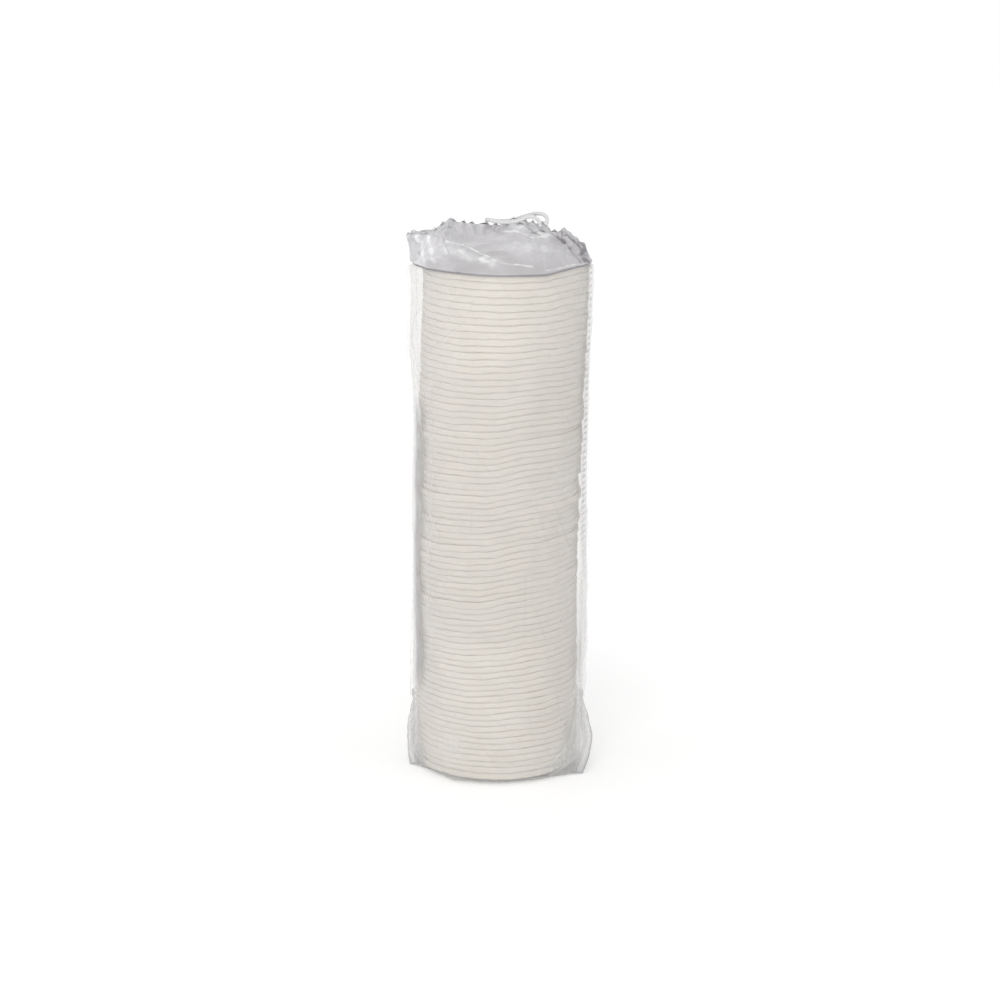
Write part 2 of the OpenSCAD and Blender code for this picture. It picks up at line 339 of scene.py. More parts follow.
@dataclass(frozen=True)
class FilmFinish:
    """Polyethylene film. The pads show through it, and its folds show thin white lines, partly its own gloss
    and partly painted highlights.
    """

    name: str
    tint: str
    shade: str
    opacity: float
    edge_opacity: float
    cloudy: float
    roughness: float
    # Tones that the attributes paint in: dark grey for painted shade and dark reflections at folds, white for
    # milky film and painted highlights
    fold_shade_tone: str = "#77747a"
    milk_glint_tone: str = "#fbfbfb"
    coat: float = 0.5
    coat_roughness: float = 0.12
    ior: float = 1.5
    specular: float = 0.7
    # Share of the roughness in the glossiest and in the dullest patches
    glossy_share: float = 0.6
    dull_share: float = 1.4
    # Spacing of the milky patches, and the noise values between which they fade in
    patch_mm: float = 30.0
    patch_from: float = 0.36
    patch_to: float = 0.7
    # Spacing and depth of soft waves, flat-sided creases and crinkles, and how far the waves bend the creases
    soft_mm: float = 11.0
    crease_mm: float = 7.0
    crinkle_mm: float = 1.8
    soft_depth: float = 0.7
    crease_depth: float = 0.25
    crinkle_depth: float = 0.03
    bend_mm: float = 6.0
    # Opacity that milky film with its painted highlights and the painted shade at folds add, and how early
    # the film turns denser to its edge
    milk_glint_weight: float = 0.6
    fold_shade_weight: float = 0.7
    edge_blend: float = 0.25

    def make(self) -> bpy.types.Material:
        """Makes the film's material.

        Milky patches, soft waves, flat-sided creases and fine crinkles come from noise. The mesh's own
        attributes add what the shape decides: a milky white where the film is stretched white or lies double,
        with painted highlights on glints and crease ridges, and a dark grey of painted shade and dark
        reflections where the film is folded or seen on edge.
        """
        made, tree, output = new_material(self.name)
        place = add_node(tree, "ShaderNodeTexCoord").outputs["Object"]
        patches = add_node(tree, "ShaderNodeTexNoise", inputs={
            "Vector": place, "Scale": 1 / (self.patch_mm * MM), "Detail": 2.0, "Distortion": 0.4,
        })
        cloud = add_node(tree, "ShaderNodeMapRange", {"interpolation_type": "SMOOTHSTEP"}, {
            "Value": patches.outputs["Fac"], "From Min": self.patch_from, "From Max": self.patch_to,
        }).outputs["Result"]
        # Milky film with painted highlights, and painted shade with dark reflections, as the mesh gives them
        milk_glint = add_node(tree, "ShaderNodeAttribute", {"attribute_name": MILK_GLINT}).outputs["Fac"]
        fold = add_node(tree, "ShaderNodeAttribute", {"attribute_name": FOLD_SHADE}).outputs["Fac"]
        waves = add_node(tree, "ShaderNodeTexNoise", inputs={
            "Vector": place, "Scale": 1 / (self.soft_mm * MM), "Detail": 2.0,
        })
        bent = add_node(tree, "ShaderNodeVectorMath", {"operation": "MULTIPLY_ADD"}, {
            0: waves.outputs["Color"], 1: (self.bend_mm * MM,) * 3, 2: place,
        }).outputs["Vector"]
        creases = add_node(tree, "ShaderNodeTexVoronoi", {"distance": "MANHATTAN"}, {
            "Vector": bent, "Scale": 1 / (self.crease_mm * MM),
        })
        crinkles = add_node(tree, "ShaderNodeTexVoronoi", {"distance": "MANHATTAN"}, {
            "Vector": bent, "Scale": 1 / (self.crinkle_mm * MM),
        })
        normal: Any = None
        for height, depth in (
            (waves.outputs["Fac"], self.soft_depth),
            (creases.outputs["Distance"], self.crease_depth),
            (crinkles.outputs["Distance"], self.crinkle_depth),
        ):
            values: dict[str | int, Any] = {"Height": height, "Strength": 1.0, "Distance": depth * MM}
            if normal is not None:
                values["Normal"] = normal
            normal = add_node(tree, "ShaderNodeBump", inputs=values).outputs["Normal"]
        facing = add_node(tree, "ShaderNodeLayerWeight", inputs={"Blend": self.edge_blend, "Normal": normal})
        alpha = add_node(tree, "ShaderNodeMapRange", inputs={
            "Value": facing.outputs["Facing"], "To Min": self.opacity, "To Max": self.edge_opacity,
        }).outputs["Result"]
        for amount, weight in ((cloud, self.cloudy), (milk_glint, self.milk_glint_weight), (fold, self.fold_shade_weight)):
            alpha = add_node(tree, "ShaderNodeMath", {"operation": "MULTIPLY_ADD", "use_clamp": True}, {
                0: amount, 1: weight, 2: alpha,
            }).outputs["Value"]
        # Base colour: the film's own tints, then the white of milky film and painted highlights, then the
        # dark grey of painted shade
        base: Any = colour(self.shade)
        for amount, tone in ((cloud, self.tint), (milk_glint, self.milk_glint_tone), (fold, self.fold_shade_tone)):
            base = add_node(tree, "ShaderNodeMix", {"data_type": "RGBA"}, {
                "Factor": amount, "A": base, "B": colour(tone),
            }).outputs["Result"]
        gloss = add_node(tree, "ShaderNodeMapRange", inputs={
            "Value": patches.outputs["Fac"],
            "To Min": self.roughness * self.glossy_share, "To Max": self.roughness * self.dull_share,
        })
        film = add_node(tree, "ShaderNodeBsdfPrincipled", inputs={
            "Base Color": base, "Roughness": gloss.outputs["Result"], "IOR": self.ior,
            "Specular IOR Level": self.specular, "Coat Weight": self.coat,
            "Coat Roughness": self.coat_roughness, "Alpha": alpha, "Normal": normal,
        })
        tree.links.new(film.outputs["BSDF"], output.inputs["Surface"])
        return made


@dataclass(frozen=True)
class CottonFinish:
    """Cotton wool pressed into pads. It is matt and warm white, with fine loose fibres and a soft glow."""

    name: str = "cotton wool, needled and pressed"
    light: str = "#ebe6de"
    dark: str = "#e0dad1"
    tone_mm: float = 14.0
    lump_mm: float = 2.6
    lump_depth: float = 0.35
    # Real fibres are about 0.02 mm thick. They are drawn this coarse to show
    fibre_mm: float = 0.5
    fibre_depth: float = 0.12
    roughness: float = 0.95
    specular: float = 0.2
    sheen: float = 0.15
    sheen_roughness: float = 0.6
    # Share of the light that enters the cotton, and how deep it goes
    glow: float = 0.6
    glow_mm: float = 1.6

    def make(self) -> bpy.types.Material:
        """Makes the cotton's material: soft tones, lumps of a few millimetres, and fibres."""
        made, tree, output = new_material(self.name)
        place = add_node(tree, "ShaderNodeTexCoord").outputs["Object"]
        tones = add_node(tree, "ShaderNodeTexNoise", inputs={
            "Vector": place, "Scale": 1 / (self.tone_mm * MM), "Detail": 4.0, "Roughness": 0.6,
        })
        base = add_node(tree, "ShaderNodeMix", {"data_type": "RGBA"}, {
            "Factor": tones.outputs["Fac"], "A": colour(self.dark), "B": colour(self.light),
        })
        lumps = add_node(tree, "ShaderNodeTexNoise", inputs={
            "Vector": place, "Scale": 1 / (self.lump_mm * MM), "Detail": 3.0,
        })
        fibres = add_node(tree, "ShaderNodeTexNoise", inputs={
            "Vector": place, "Scale": 1 / (self.fibre_mm * MM), "Detail": 5.0, "Roughness": 0.7,
            "Distortion": 2.0,
        })
        soft = add_node(tree, "ShaderNodeBump", inputs={
            "Height": lumps.outputs["Fac"], "Strength": 0.7, "Distance": self.lump_depth * MM,
        })
        fuzz = add_node(tree, "ShaderNodeBump", inputs={
            "Height": fibres.outputs["Fac"], "Strength": 0.6, "Distance": self.fibre_depth * MM,
            "Normal": soft.outputs["Normal"],
        })
        cotton = add_node(tree, "ShaderNodeBsdfPrincipled", inputs={
            "Base Color": base.outputs["Result"], "Roughness": self.roughness,
            "Specular IOR Level": self.specular, "Sheen Weight": self.sheen,
            "Sheen Roughness": self.sheen_roughness, "Normal": fuzz.outputs["Normal"],
            "Subsurface Weight": self.glow, "Subsurface Radius": (1.0, 0.9, 0.8),
            "Subsurface Scale": self.glow_mm * MM,
        })
        tree.links.new(cotton.outputs["BSDF"], output.inputs["Surface"])
        return made


@dataclass(frozen=True)
class StringFinish:
    """Bleached cotton yarn, twisted. It is matt and a little hairy, and its strands read as slanting ribs."""

    name: str = "cotton yarn, bleached and twisted"
    light: str = "#ededed"
    dark: str = "#d0cfd0"
    # Real fibres are about 0.02 mm thick. They are drawn this coarse to show
    fibre_mm: float = 0.3
    fibre_depth: float = 0.08
    roughness: float = 0.9
    sheen: float = 0.2

    def make(self) -> bpy.types.Material:
        """Makes the string's material: a fine hairy grain in two tones."""
        made, tree, output = new_material(self.name)
        place = add_node(tree, "ShaderNodeTexCoord").outputs["Object"]
        fibres = add_node(tree, "ShaderNodeTexNoise", inputs={
            "Vector": place, "Scale": 1 / (self.fibre_mm * MM), "Detail": 4.0, "Distortion": 1.5,
        })
        base = add_node(tree, "ShaderNodeMix", {"data_type": "RGBA"}, {
            "Factor": fibres.outputs["Fac"], "A": colour(self.dark), "B": colour(self.light),
        })
        grain = add_node(tree, "ShaderNodeBump", inputs={
            "Height": fibres.outputs["Fac"], "Strength": 0.8, "Distance": self.fibre_depth * MM,
        })
        yarn = add_node(tree, "ShaderNodeBsdfPrincipled", inputs={
            "Base Color": base.outputs["Result"], "Roughness": self.roughness,
            "Sheen Weight": self.sheen, "Normal": grain.outputs["Normal"],
        })
        tree.links.new(yarn.outputs["BSDF"], output.inputs["Surface"])
        return made


# Blown film, drawn tight: nearly clear, with wide milky patches where it bridges the pads' edges
SLEEVE_FILM = FilmFinish(
    "polyethylene film, blown and drawn tight", tint="#e4e2df", shade="#d2cfcb",
    opacity=0.09, edge_opacity=0.5, cloudy=0.07, roughness=0.3,
)
# Film welded or folded double: a little milkier, and crimped by the hot bar
SEAM_FILM = FilmFinish(
    "polyethylene film, heat-welded double", tint="#f0f0f0", shade="#d8d7d9",
    opacity=0.14, edge_opacity=0.6, cloudy=0.12, roughness=0.22, crease_mm=3.5, crease_depth=0.3,
)
# Film crumpled in several layers: milky and lilac-grey in the mass, its grey partly painted shade of the
# layers, with painted highlights on facets and painted shade in folds
NECK_FILM = FilmFinish(
    "polyethylene film, gathered and crumpled", tint="#d8d6d9", shade="#cfcdd0",
    opacity=0.66, edge_opacity=0.8, cloudy=0.08, roughness=0.36, patch_mm=16.0, coat=0.2,
    soft_mm=16.0, soft_depth=0.9, crease_mm=9.0, crease_depth=0.2, crinkle_mm=2.4, crinkle_depth=0.03,
)


@dataclass(frozen=True)
class Creases:
    """Straight folds scattered over the unrolled film, each a flat-sided ridge that dies out at its ends."""

    seed: int
    count: int
    across: tuple[float, float]
    up: tuple[float, float]
    length: tuple[float, float]
    slope: tuple[float, float]
    depth: tuple[float, float]
    width: tuple[float, float]
    line_w: float = 0.3

    def heights(self, u: np.ndarray, v: np.ndarray) -> tuple[np.ndarray, np.ndarray]:
        """Measures the folds at points of the unrolled film.

        Args:
            u: place round the film, in millimetres.
            v: place up the film, in millimetres.

        Returns:
            How far the film stands out, in millimetres, and how near a sharp line is, from 0 to 1.
        """
        chance = random.Random(self.seed)
        out, line = np.zeros_like(u), np.zeros_like(u)
        for _ in range(self.count):
            middle_u, middle_v = chance.uniform(*self.across), chance.uniform(*self.up)
            half = chance.uniform(*self.length) / 2
            turn = chance.uniform(*self.slope) * chance.choice((-1, 1))
            depth, width = chance.uniform(*self.depth), chance.uniform(*self.width)
            along = (u - middle_u) * cos_deg(turn) + (v - middle_v) * sin_deg(turn)
            off = (v - middle_v) * cos_deg(turn) - (u - middle_u) * sin_deg(turn)
            taper = np.sqrt(np.maximum(0.0, 1 - np.abs(along) / half))
            out += depth * taper * np.maximum(0.0, 1 - np.abs(off) / width)
            line = np.maximum(line, taper * bell(off, 0.0, self.line_w))
        return out, line


def new_piece(
    name: str,
    mesh: bpy.types.Mesh,
    material: bpy.types.Material,
    smooth: bool = True,
) -> bpy.types.Object:
    """Makes an object at the origin.

    Args:
        name: the piece's name.
        mesh: its mesh, in metres.
        material: its material.
        smooth: whether its faces are shaded smooth.

    Returns:
        The new object.
    """
    mesh.name = name
    mesh.polygons.foreach_set("use_smooth", np.full(len(mesh.polygons), smooth))
    mesh.materials.append(material)
    made = bpy.data.objects.new(name, mesh)
    bpy.context.scene.collection.objects.link(made)
    return made


def mesh_from(bm: bmesh.types.BMesh) -> bpy.types.Mesh:
    """Turns a bmesh into a mesh and frees it."""
    mesh = bpy.data.meshes.new("mesh")
    bm.to_mesh(mesh)
    bm.free()
    return mesh


def spin_profile(profile: Sequence[Vector], segments: int) -> bmesh.types.BMesh:
    """Spins a profile all the way round the Z axis.

    Args:
        profile: its points, in millimetres.
        segments: number of steps round.

    Returns:
        The spun shape, merged, with its faces pointing outwards.
    """
    bm = bmesh.new()
    verts = [bm.verts.new(p) for p in profile]
    edges = [bm.edges.new(pair) for pair in zip(verts, verts[1:])]
    bmesh.ops.spin(
        bm, geom=verts + edges, cent=(0, 0, 0), axis=(0, 0, 1), angle=2 * math.pi,
        steps=segments, use_merge=True, use_duplicate=False,
    )
    bmesh.ops.remove_doubles(bm, verts=bm.verts, dist=JOIN_MM)
    bmesh.ops.recalc_face_normals(bm, faces=bm.faces)
    return bm


def read_points(mesh: bpy.types.Mesh) -> np.ndarray:
    """The mesh's points as rows."""
    flat = np.zeros(len(mesh.vertices) * 3, np.float32)
    mesh.vertices.foreach_get("co", flat)
    return flat.reshape(-1, 3).astype(float)


def write_points(mesh: bpy.types.Mesh, points: np.ndarray) -> None:
    """Moves the mesh's points to rows given in millimetres."""
    mesh.vertices.foreach_set("co", (points * MM).astype(np.float32).ravel())
    mesh.update()


def write_shares(mesh: bpy.types.Mesh, name: str, values: np.ndarray) -> None:
    """Keeps a value from 0 to 1 for each point, for the material to read."""
    made = mesh.attributes.new(name, "FLOAT", "POINT")
    made.data.foreach_set("value", np.clip(values, 0.0, 1.0).astype(np.float32))


@dataclass
class Drape:
    """A flat grid laid over a shape: shares from 0 to 1 across and up at each of its points."""

    cols: int
    rows: int

    def __post_init__(self) -> None:
        """Makes the flat grid and reads the shares from it."""
        bm = bmesh.new()
        bmesh.ops.create_grid(bm, x_segments=self.cols, y_segments=self.rows, size=0.5)
        self.mesh = mesh_from(bm)
        flat = read_points(self.mesh)
        self.across, self.up = flat[:, 0] + 0.5, flat[:, 1] + 0.5

    def shape(
        self,
        points: np.ndarray,
        milk_glint: np.ndarray | None = None,
        fold: np.ndarray | None = None,
        ring: bool = False,
    ) -> bpy.types.Mesh:
        """Moves the grid onto the shape.

        Args:
            points: the shape's points, in millimetres.
            milk_glint: share of milky film and of painted highlights at each point.
            fold: share of painted shade and dark reflections at each point, where the film is folded or seen
                on edge.
            ring: whether the last column closes on the first.

        Returns:
            The shaped mesh, in metres.
        """
        write_points(self.mesh, points)
        for name, values in ((MILK_GLINT, milk_glint), (FOLD_SHADE, fold)):
            if values is not None:
                write_shares(self.mesh, name, values)
        if ring:
            bm = bmesh.new()
            bm.from_mesh(self.mesh)
            bmesh.ops.remove_doubles(bm, verts=bm.verts, dist=JOIN_M)
            bmesh.ops.recalc_face_normals(bm, faces=bm.faces)
            bm.to_mesh(self.mesh)
            bm.free()
        return self.mesh


@dataclass(frozen=True)
class Band:
    """An upright stretch of the film that looks milky or dark: its angle, width, heights and strength."""

    angle: float
    width: float
    low: float
    high: float
    amount: float
    fade: float = 10.0

    def at(self, angle: np.ndarray, z: np.ndarray) -> np.ndarray:
        """Strength of the band, which sways a little, at angles in degrees and heights in millimetres."""
        sway = 1.6 * np.sin(z / 9.0) + 1.1 * np.sin(z / 3.7 + self.angle)
        ends = ease((z - self.low) / self.fade) * ease((self.high - z) / self.fade)
        return self.amount * ends * bell(angle + sway, self.angle, self.width)


@dataclass
class SleeveWalls:
    """Front and back film of the sleeve, drawn round the pads and welded at both sides."""

    stack: Stack
    finish: bpy.types.Material
    cols: int = 160
    rows: int = 400
    lift: float = 0.3
    wave_h: float = 0.5
    wave_size: float = 24.0
    fold_h: float = 0.7
    fold_size: float = 15.0
    crinkle_h: float = 0.4
    crinkle_size: float = 4.5
    # How far the film is drawn in under the neck, over what height, and the height of the dark line of
    # painted shade there, in the gap under the neck
    tuck: float = 0.9
    tuck_h: float = 1.1
    rim_line_h: float = 0.7
    # Way round the film as a share of that round the stack, and how far it stands off at the right
    slack_share: float = 1.04
    right_room: float = 1.5
    # Painted shade near the right edge: short dark dashes, one to a pad, for the pads' shaded edges:
    # strength, angle and width in degrees
    shade_dashes: float = 0.8
    dash_angle: float = 345.0
    dash_w: float = 5.0
    creases: Creases = Creases(
        seed=7, count=90, across=(0.0, 184.0), up=(8.0, 176.0), length=(8.0, 34.0),
        slope=(35.0, 90.0), depth=(0.1, 0.45), width=(1.5, 5.0),
    )
    # Milky upright stretches of the film; the one at 243 degrees, low at the front, is a painted highlight
    milky: tuple[Band, ...] = (
        Band(218, 7, 20, 150, 0.12), Band(298, 9, 55, 150, 0.08), Band(318, 8, 25, 120, 0.08),
        Band(243, 8, 4, 24, 0.2), Band(40, 8, 30, 150, 0.12), Band(128, 9, 20, 160, 0.12),
    )
    # Painted shade and dark reflections in upright stretches of the film: the pads' shaded edges at both
    # sides, dark creases at the right, a faint wide shade across the front, and shade at the back
    dark: tuple[Band, ...] = (
        Band(262, 40, 46, 150, 0.12), Band(200, 7.0, 26, 136, 0.75), Band(351, 5.0, 40, 172, 0.3),
        Band(341, 2.2, 28, 52, 0.6), Band(331, 3.5, 6, 24, 0.45), Band(158, 5.0, 22, 150, 0.2),
        Band(14, 5.0, 20, 165, 0.25),
    )

    def looseness(self, side: np.ndarray, z: np.ndarray) -> np.ndarray:
        """Share by which the film is free to fold: at the left near the top, at the right near the foot."""
        up = z / self.stack.top
        left = 0.3 + 0.7 * swell(up, 0.6, 1.1)
        right = 0.15 + 0.85 * swell(up, -0.1, 0.55)
        return np.abs(side) ** 5 * np.where(side < 0, left, right)

    def surface(self, angle: np.ndarray, z: np.ndarray) -> tuple[np.ndarray, np.ndarray, np.ndarray]:
        """Shapes the wrinkled film.

        Args:
            angle: in degrees, 0 at the right and 180 at the left.
            z: height in millimetres.

        Returns:
            The points in millimetres, and the shares of milky film with painted highlights and of painted
            shade.
        """
        stack = self.stack
        side, front = cos_deg(angle), sin_deg(angle)
        beside = self.right_room * np.maximum(0.0, side) ** 3 * swell(z / stack.top, 0.3, 0.85)
        radius = stack.film_r(angle, z) + beside
        rest = points_of(side * radius, front * radius, z)
        sidewards = self.looseness(side, z)
        foot = 1 - ease((z - stack.foot_z) / 30)
        crown = ease((z - stack.top + 24) / 24)
        slack = np.minimum(1.0, 0.2 + 0.8 * sidewards + 0.5 * foot + 0.2 * crown)
        waves = self.wave_h * (0.5 + 0.5 * hills(rest * (1, 1, 0.45), self.wave_size))
        folds = self.fold_h * slack * (0.5 + facets(rest * (1, 1, 0.6), self.fold_size))
        crumpled = np.minimum(1.0, sidewards + 0.4 * crown)
        crinkles = self.crinkle_h * crumpled * (0.5 + facets(rest, self.crinkle_size))
        turn = angle % 360
        ridges, lines = self.creases.heights(np.radians(turn) * stack.wall_r, z)
        tucked = self.tuck * ease((z - stack.top + self.tuck_h) / self.tuck_h)
        grown = radius + self.lift + waves + folds + crinkles + ridges * slack - tucked
        # Bright lines along the creases' ridges, partly whitened film and partly painted highlights, milky
        # film at the foot, and the milky stretches
        milk_glint = lines * (0.1 + 0.6 * sidewards) + 0.06 * foot + sum(band.at(turn, z) for band in self.milky)
        # Painted shade: a dark line along the top rim, where shade falls in the gap under the neck
        rim_line = ease((z - stack.top + self.rim_line_h) / self.rim_line_h)
        fold = sum(band.at(turn, z) for band in self.dark) + 0.9 * rim_line
        beat = 2 * np.pi * z / (stack.pad_t + stack.pad_gap)
        pulse = ease(1.6 * np.cos(beat) + 1.4 * hills(rest, 3.0, 5.0))
        # Painted shade of the pads' edges near the right edge, one dash to a pad
        fold = fold + self.shade_dashes * bell(turn, self.dash_angle, self.dash_w) * pulse * ease((z - 60) / 30)
        x, y = stack.x_at(z) + side * grown, front * grown
        return points_of(x, y, z + stack.droop(x, y, z)), milk_glint, fold

    def build(self) -> list[bpy.types.Object]:
        """Builds both halves.

        Returns:
            The front and the back piece.
        """
        stack = self.stack
        made = []
        for wall in Wall:
            grid = Drape(self.cols, self.rows)
            angle = wall.value + 180 * grid.across
            z = mix(stack.foot_z - 0.6, stack.top, grid.up)
            label = wall.name.lower()
            piece = new_piece(f"sleeve_{label}", grid.shape(*self.surface(angle, z)), self.finish)
            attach(piece, "sleeve")
            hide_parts(f"film_{label}_panel")
            (stack.top - stack.foot_z) * MM
            made.append(piece)
        return made


@dataclass
class SideSeam:
    """A welded seam that stands out where front and back film meet, crimped along its length."""

    walls: SleeveWalls
    side: Side
    finish: bpy.types.Material
    cols: int = 5
    rows: int = 420
    sway: float = 0.8

    def width(self, z: np.ndarray) -> np.ndarray:
        """Width of the weld at a height: wide where the film is loose, and narrow where it is tight."""
        up = z / self.walls.stack.top
        if self.side is Side.LEFT:
            return 0.7 + 0.5 * swell(up, 0.6, 1.1) + 0.5 * swell(up, -0.2, 0.4)
        return 0.4 + 0.6 * swell(up, -0.2, 0.45) + 0.4 * swell(up, 0.3, 0.8)

    def build(self) -> bpy.types.Object:
        """Builds the strip from the folded corner to the neck.

        Returns:
            The seam.
        """
        stack = self.walls.stack
        sign = self.side.value
        grid = Drape(self.cols, self.rows)
        z = mix(stack.ear_h - 1, stack.top - 0.5, grid.up)
        root, _, _ = self.walls.surface(np.full_like(z, self.side.angle), z)
        track = points_of(0.0, sign * 40.0, z)
        turn = self.sway * (hills(track, 9.0) + 0.4 * hills(track, 3.0))
        reach = self.width(z) * grid.across * (1 + 0.35 * hills(track, 6.0, 5.0))
        points = root + points_of(sign * reach, turn * grid.across, 0.0)
        weld = bell(grid.across, 0.35, 0.16) * 0.5
        # Painted shade along the seam's free edge, where the film is seen on edge
        edge = bell(grid.across, 1.0, 0.2) * 0.45
        piece = new_piece(f"seam_{self.side.label}", grid.shape(points, weld, edge), self.finish)
        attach(piece, "sleeve")
        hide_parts(f"side_seam_{self.side.label}")
        return piece


@dataclass
class SleeveBase:
    """The film under the lowest pad: flat in the middle, folded up like gift wrap at its border."""

    walls: SleeveWalls
    finish: bpy.types.Material
    rings: int = 30
    segments: int = 256
    boxiness: float = 0.55
    pleats: int = 9
    pleat_h: float = 0.25
    crumple_h: float = 0.8
    crumple_size: float = 7.0
    floor_gap: float = 0.12
    # Radius at which the ground line starts to count as a corner, and how much more makes it one
    corner_r: float = 30.5
    corner_fade: float = 3.0
    # How far inside the ground line the film ends
    inset: float = 0.3
    # Angle and radius of the film where it meets the ground: its folded corners stand out past the pads
    ground_line: tuple[tuple[float, float], ...] = (
        (0, 31.0), (30, 31.4), (48, 32.8), (70, 29.6), (110, 29.6), (130, 32.4), (150, 30.0),
        (180, 31.2), (195, 31.4), (219, 29.6), (231, 30.6), (240, 32.5), (252, 30.6), (285, 29.6),
        (315, 32.8), (329, 34.6), (345, 32.5), (360, 31.0),
    )

    def build(self) -> bpy.types.Object:
        """Builds the base by spinning its profile and folding its border.

        Returns:
            The base.
        """
        stack = self.walls.stack
        flat, wall, top = stack.flat_r, stack.wall_r + self.walls.lift, stack.foot_z
        profile = [Vector((flat * share, 0.0, self.floor_gap)) for share in (0.0, 0.2, 0.4, 0.6, 0.8, 1.0)]
        for i in range(1, self.rings + 1):
            turn = 90 * i / self.rings
            height = mix(top, self.floor_gap, max(0.0, cos_deg(turn)) ** self.boxiness)
            profile.append(Vector((mix(flat, wall, sin_deg(turn) ** self.boxiness), 0.0, height)))
        mesh = mesh_from(spin_profile(profile, self.segments))
        points = read_points(mesh)
        radius = np.hypot(points[:, 0], points[:, 1])
        angle = np.degrees(np.arctan2(points[:, 1], points[:, 0])) % 360
        outline = np.interp(angle, *zip(*self.ground_line)) - self.inset
        border = ease((radius - flat) / (wall - flat))
        low = 1 - ease(points[:, 2] / top)
        crumpled = self.crumple_h * facets(points, self.crumple_size) * border * ease(points[:, 2] / 2.0)
        grown = radius + (outline - wall) * border * low + crumpled
        points[:, 0] = stack.x_at(0) + grown * cos_deg(angle)
        points[:, 1] = grown * sin_deg(angle)
        wave = 0.5 + 0.5 * np.sin(self.pleats * np.radians(angle) + 4 * hills(points, 14.0))
        points[:, 2] += self.pleat_h * border * low * wave
        write_points(mesh, points)
        corners = ease((outline - self.corner_r) / self.corner_fade)
        # Whiter on the pleats' crests and milky at the folded corners; below, a dark line of painted shade
        # low on the border, where the film meets the floor
        write_shares(mesh, MILK_GLINT, 0.12 * border * wave + 0.4 * bell(low, 0.9, 0.12) * corners)
        write_shares(mesh, FOLD_SHADE, 0.12 * bell(low, 0.97, 0.05) * border)
        piece = new_piece("sleeve_base", mesh, self.finish)
        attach(piece, "sleeve")
        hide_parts("film_base")
        return piece


@dataclass
class FootEar:
    """A bottom corner of the sleeve, folded out into a flat pocket that ends in the side seam."""

    walls: SleeveWalls
    side: Side
    finish: bpy.types.Material
    cols: int = 110
    rows: int = 100
    floor_gap: float = 0.2
    # Radius at which the corner lies against the pads' curled foot
    hug_foot: float = 24.0
    # Height below which the corner is folded forward, and share of its rows that lie under the foot
    swing_h: float = 14.0
    under_share: float = 0.22
    crumple_h: float = 0.6
    crumple_size: float = 6.0
    creases: Creases = Creases(
        seed=3, count=26, across=(-24.0, 24.0), up=(0.0, 26.0), length=(5.0, 20.0),
        slope=(40.0, 90.0), depth=(0.2, 0.7), width=(1.2, 4.0),
    )

    @property
    def swing(self) -> float:
        """Degrees by which the corner's tip is folded forward at the ground."""
        return 14.0 if self.side is Side.LEFT else -30.0

    @property
    def stretch(self) -> float:
        """Length that the corner gains at the ground, where it is pulled forward."""
        return 0.2 if self.side is Side.LEFT else 0.7

    def build(self) -> bpy.types.Object:
        """Builds the pocket: down from the wall, out to where it turns back, and in under the foot.

        Returns:
            The folded corner.
        """
        stack = self.walls.stack
        sign = self.side.value
        wall = stack.wall_r + self.walls.lift
        grid = Drape(self.cols, self.rows)
        offset = (grid.across - 0.5) * 2
        rising = np.maximum(0.0, grid.up - self.under_share) / (1 - self.under_share)
        z = self.floor_gap + (stack.ear_h + 1) * rising ** 1.3
        low = 1 - ease(z / self.swing_h)
        reach = stack.ear_reach - sign * stack.x_at(0) + 0.2 + self.stretch * low
        wobble = hills(points_of(3.0, sign * 5.0, z), 5.0)
        bulge = 1 - 0.85 * ease((z - 7) / (stack.ear_h - 7)) + 0.07 * wobble
        hugged = mix(self.hug_foot, stack.wall_r + 0.1, ease(z / stack.foot_z / 1.4))
        tip = np.maximum(mix(wall, reach, bulge), hugged + 0.4)
        spread = np.degrees(np.arccos(hugged / tip))
        angle = offset * np.maximum(spread, 8.0)
        radius = hugged / cos_deg(np.maximum(0.0, spread - np.abs(angle)))
        ridges, lines = self.creases.heights(angle * 0.5 + sign * 2, z)
        free = (1 - np.abs(offset)) * ease(z / 3)
        seeds = points_of(radius, angle * 0.4, z + sign * 20)
        crumpled = self.crumple_h * (0.5 + facets(seeds, self.crumple_size)) + ridges
        under = ease(grid.up / self.under_share)
        radius = mix(stack.flat_r + 1.5, radius + crumpled * free, under)
        turned = self.side.angle + angle + self.swing * low
        points = points_of(stack.x_at(0) + radius * cos_deg(turned), radius * sin_deg(turned), z)
        # The corner's outer edge, where it turns back, gets white and dark grey, with a dark grey band to
        # each side of it: painted highlights and painted shade, and painted highlights along the creases
        edge = bell(offset, 0.0, 0.05)
        milk_glint = lines * 0.5 + edge * 0.3
        fold = edge * 0.5 + 0.25 * bell(np.abs(offset), 0.3, 0.12)
        piece = new_piece(f"ear_{self.side.label}", grid.shape(points, milk_glint, fold), self.finish)
        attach(piece, "sleeve")
        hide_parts(f"foot_ear_{self.side.label}")
        return piece


@dataclass(frozen=True)
class Stroke:
    """A straight crease on the neck's front in painted shade, or a glint in painted highlight, raised a
    little: its ends, across and up the slope, in millimetres.
    """

    start: tuple[float, float]
    end: tuple[float, float]
    width: float
    amount: float

    def at(self, x: np.ndarray, w: np.ndarray) -> np.ndarray:
        """Strength of the stroke at places across and up the slope."""
        run_x, run_w = self.end[0] - self.start[0], self.end[1] - self.start[1]
        length = math.hypot(run_x, run_w)
        from_x, from_w = x - self.start[0], w - self.start[1]
        along = (from_x * run_x + from_w * run_w) / length
        off = (from_w * run_x - from_x * run_w) / length
        beyond = np.maximum(0.0, np.abs(along - length / 2) - length / 2)
        return self.amount * bell(np.hypot(off, beyond), 0.0, self.width)


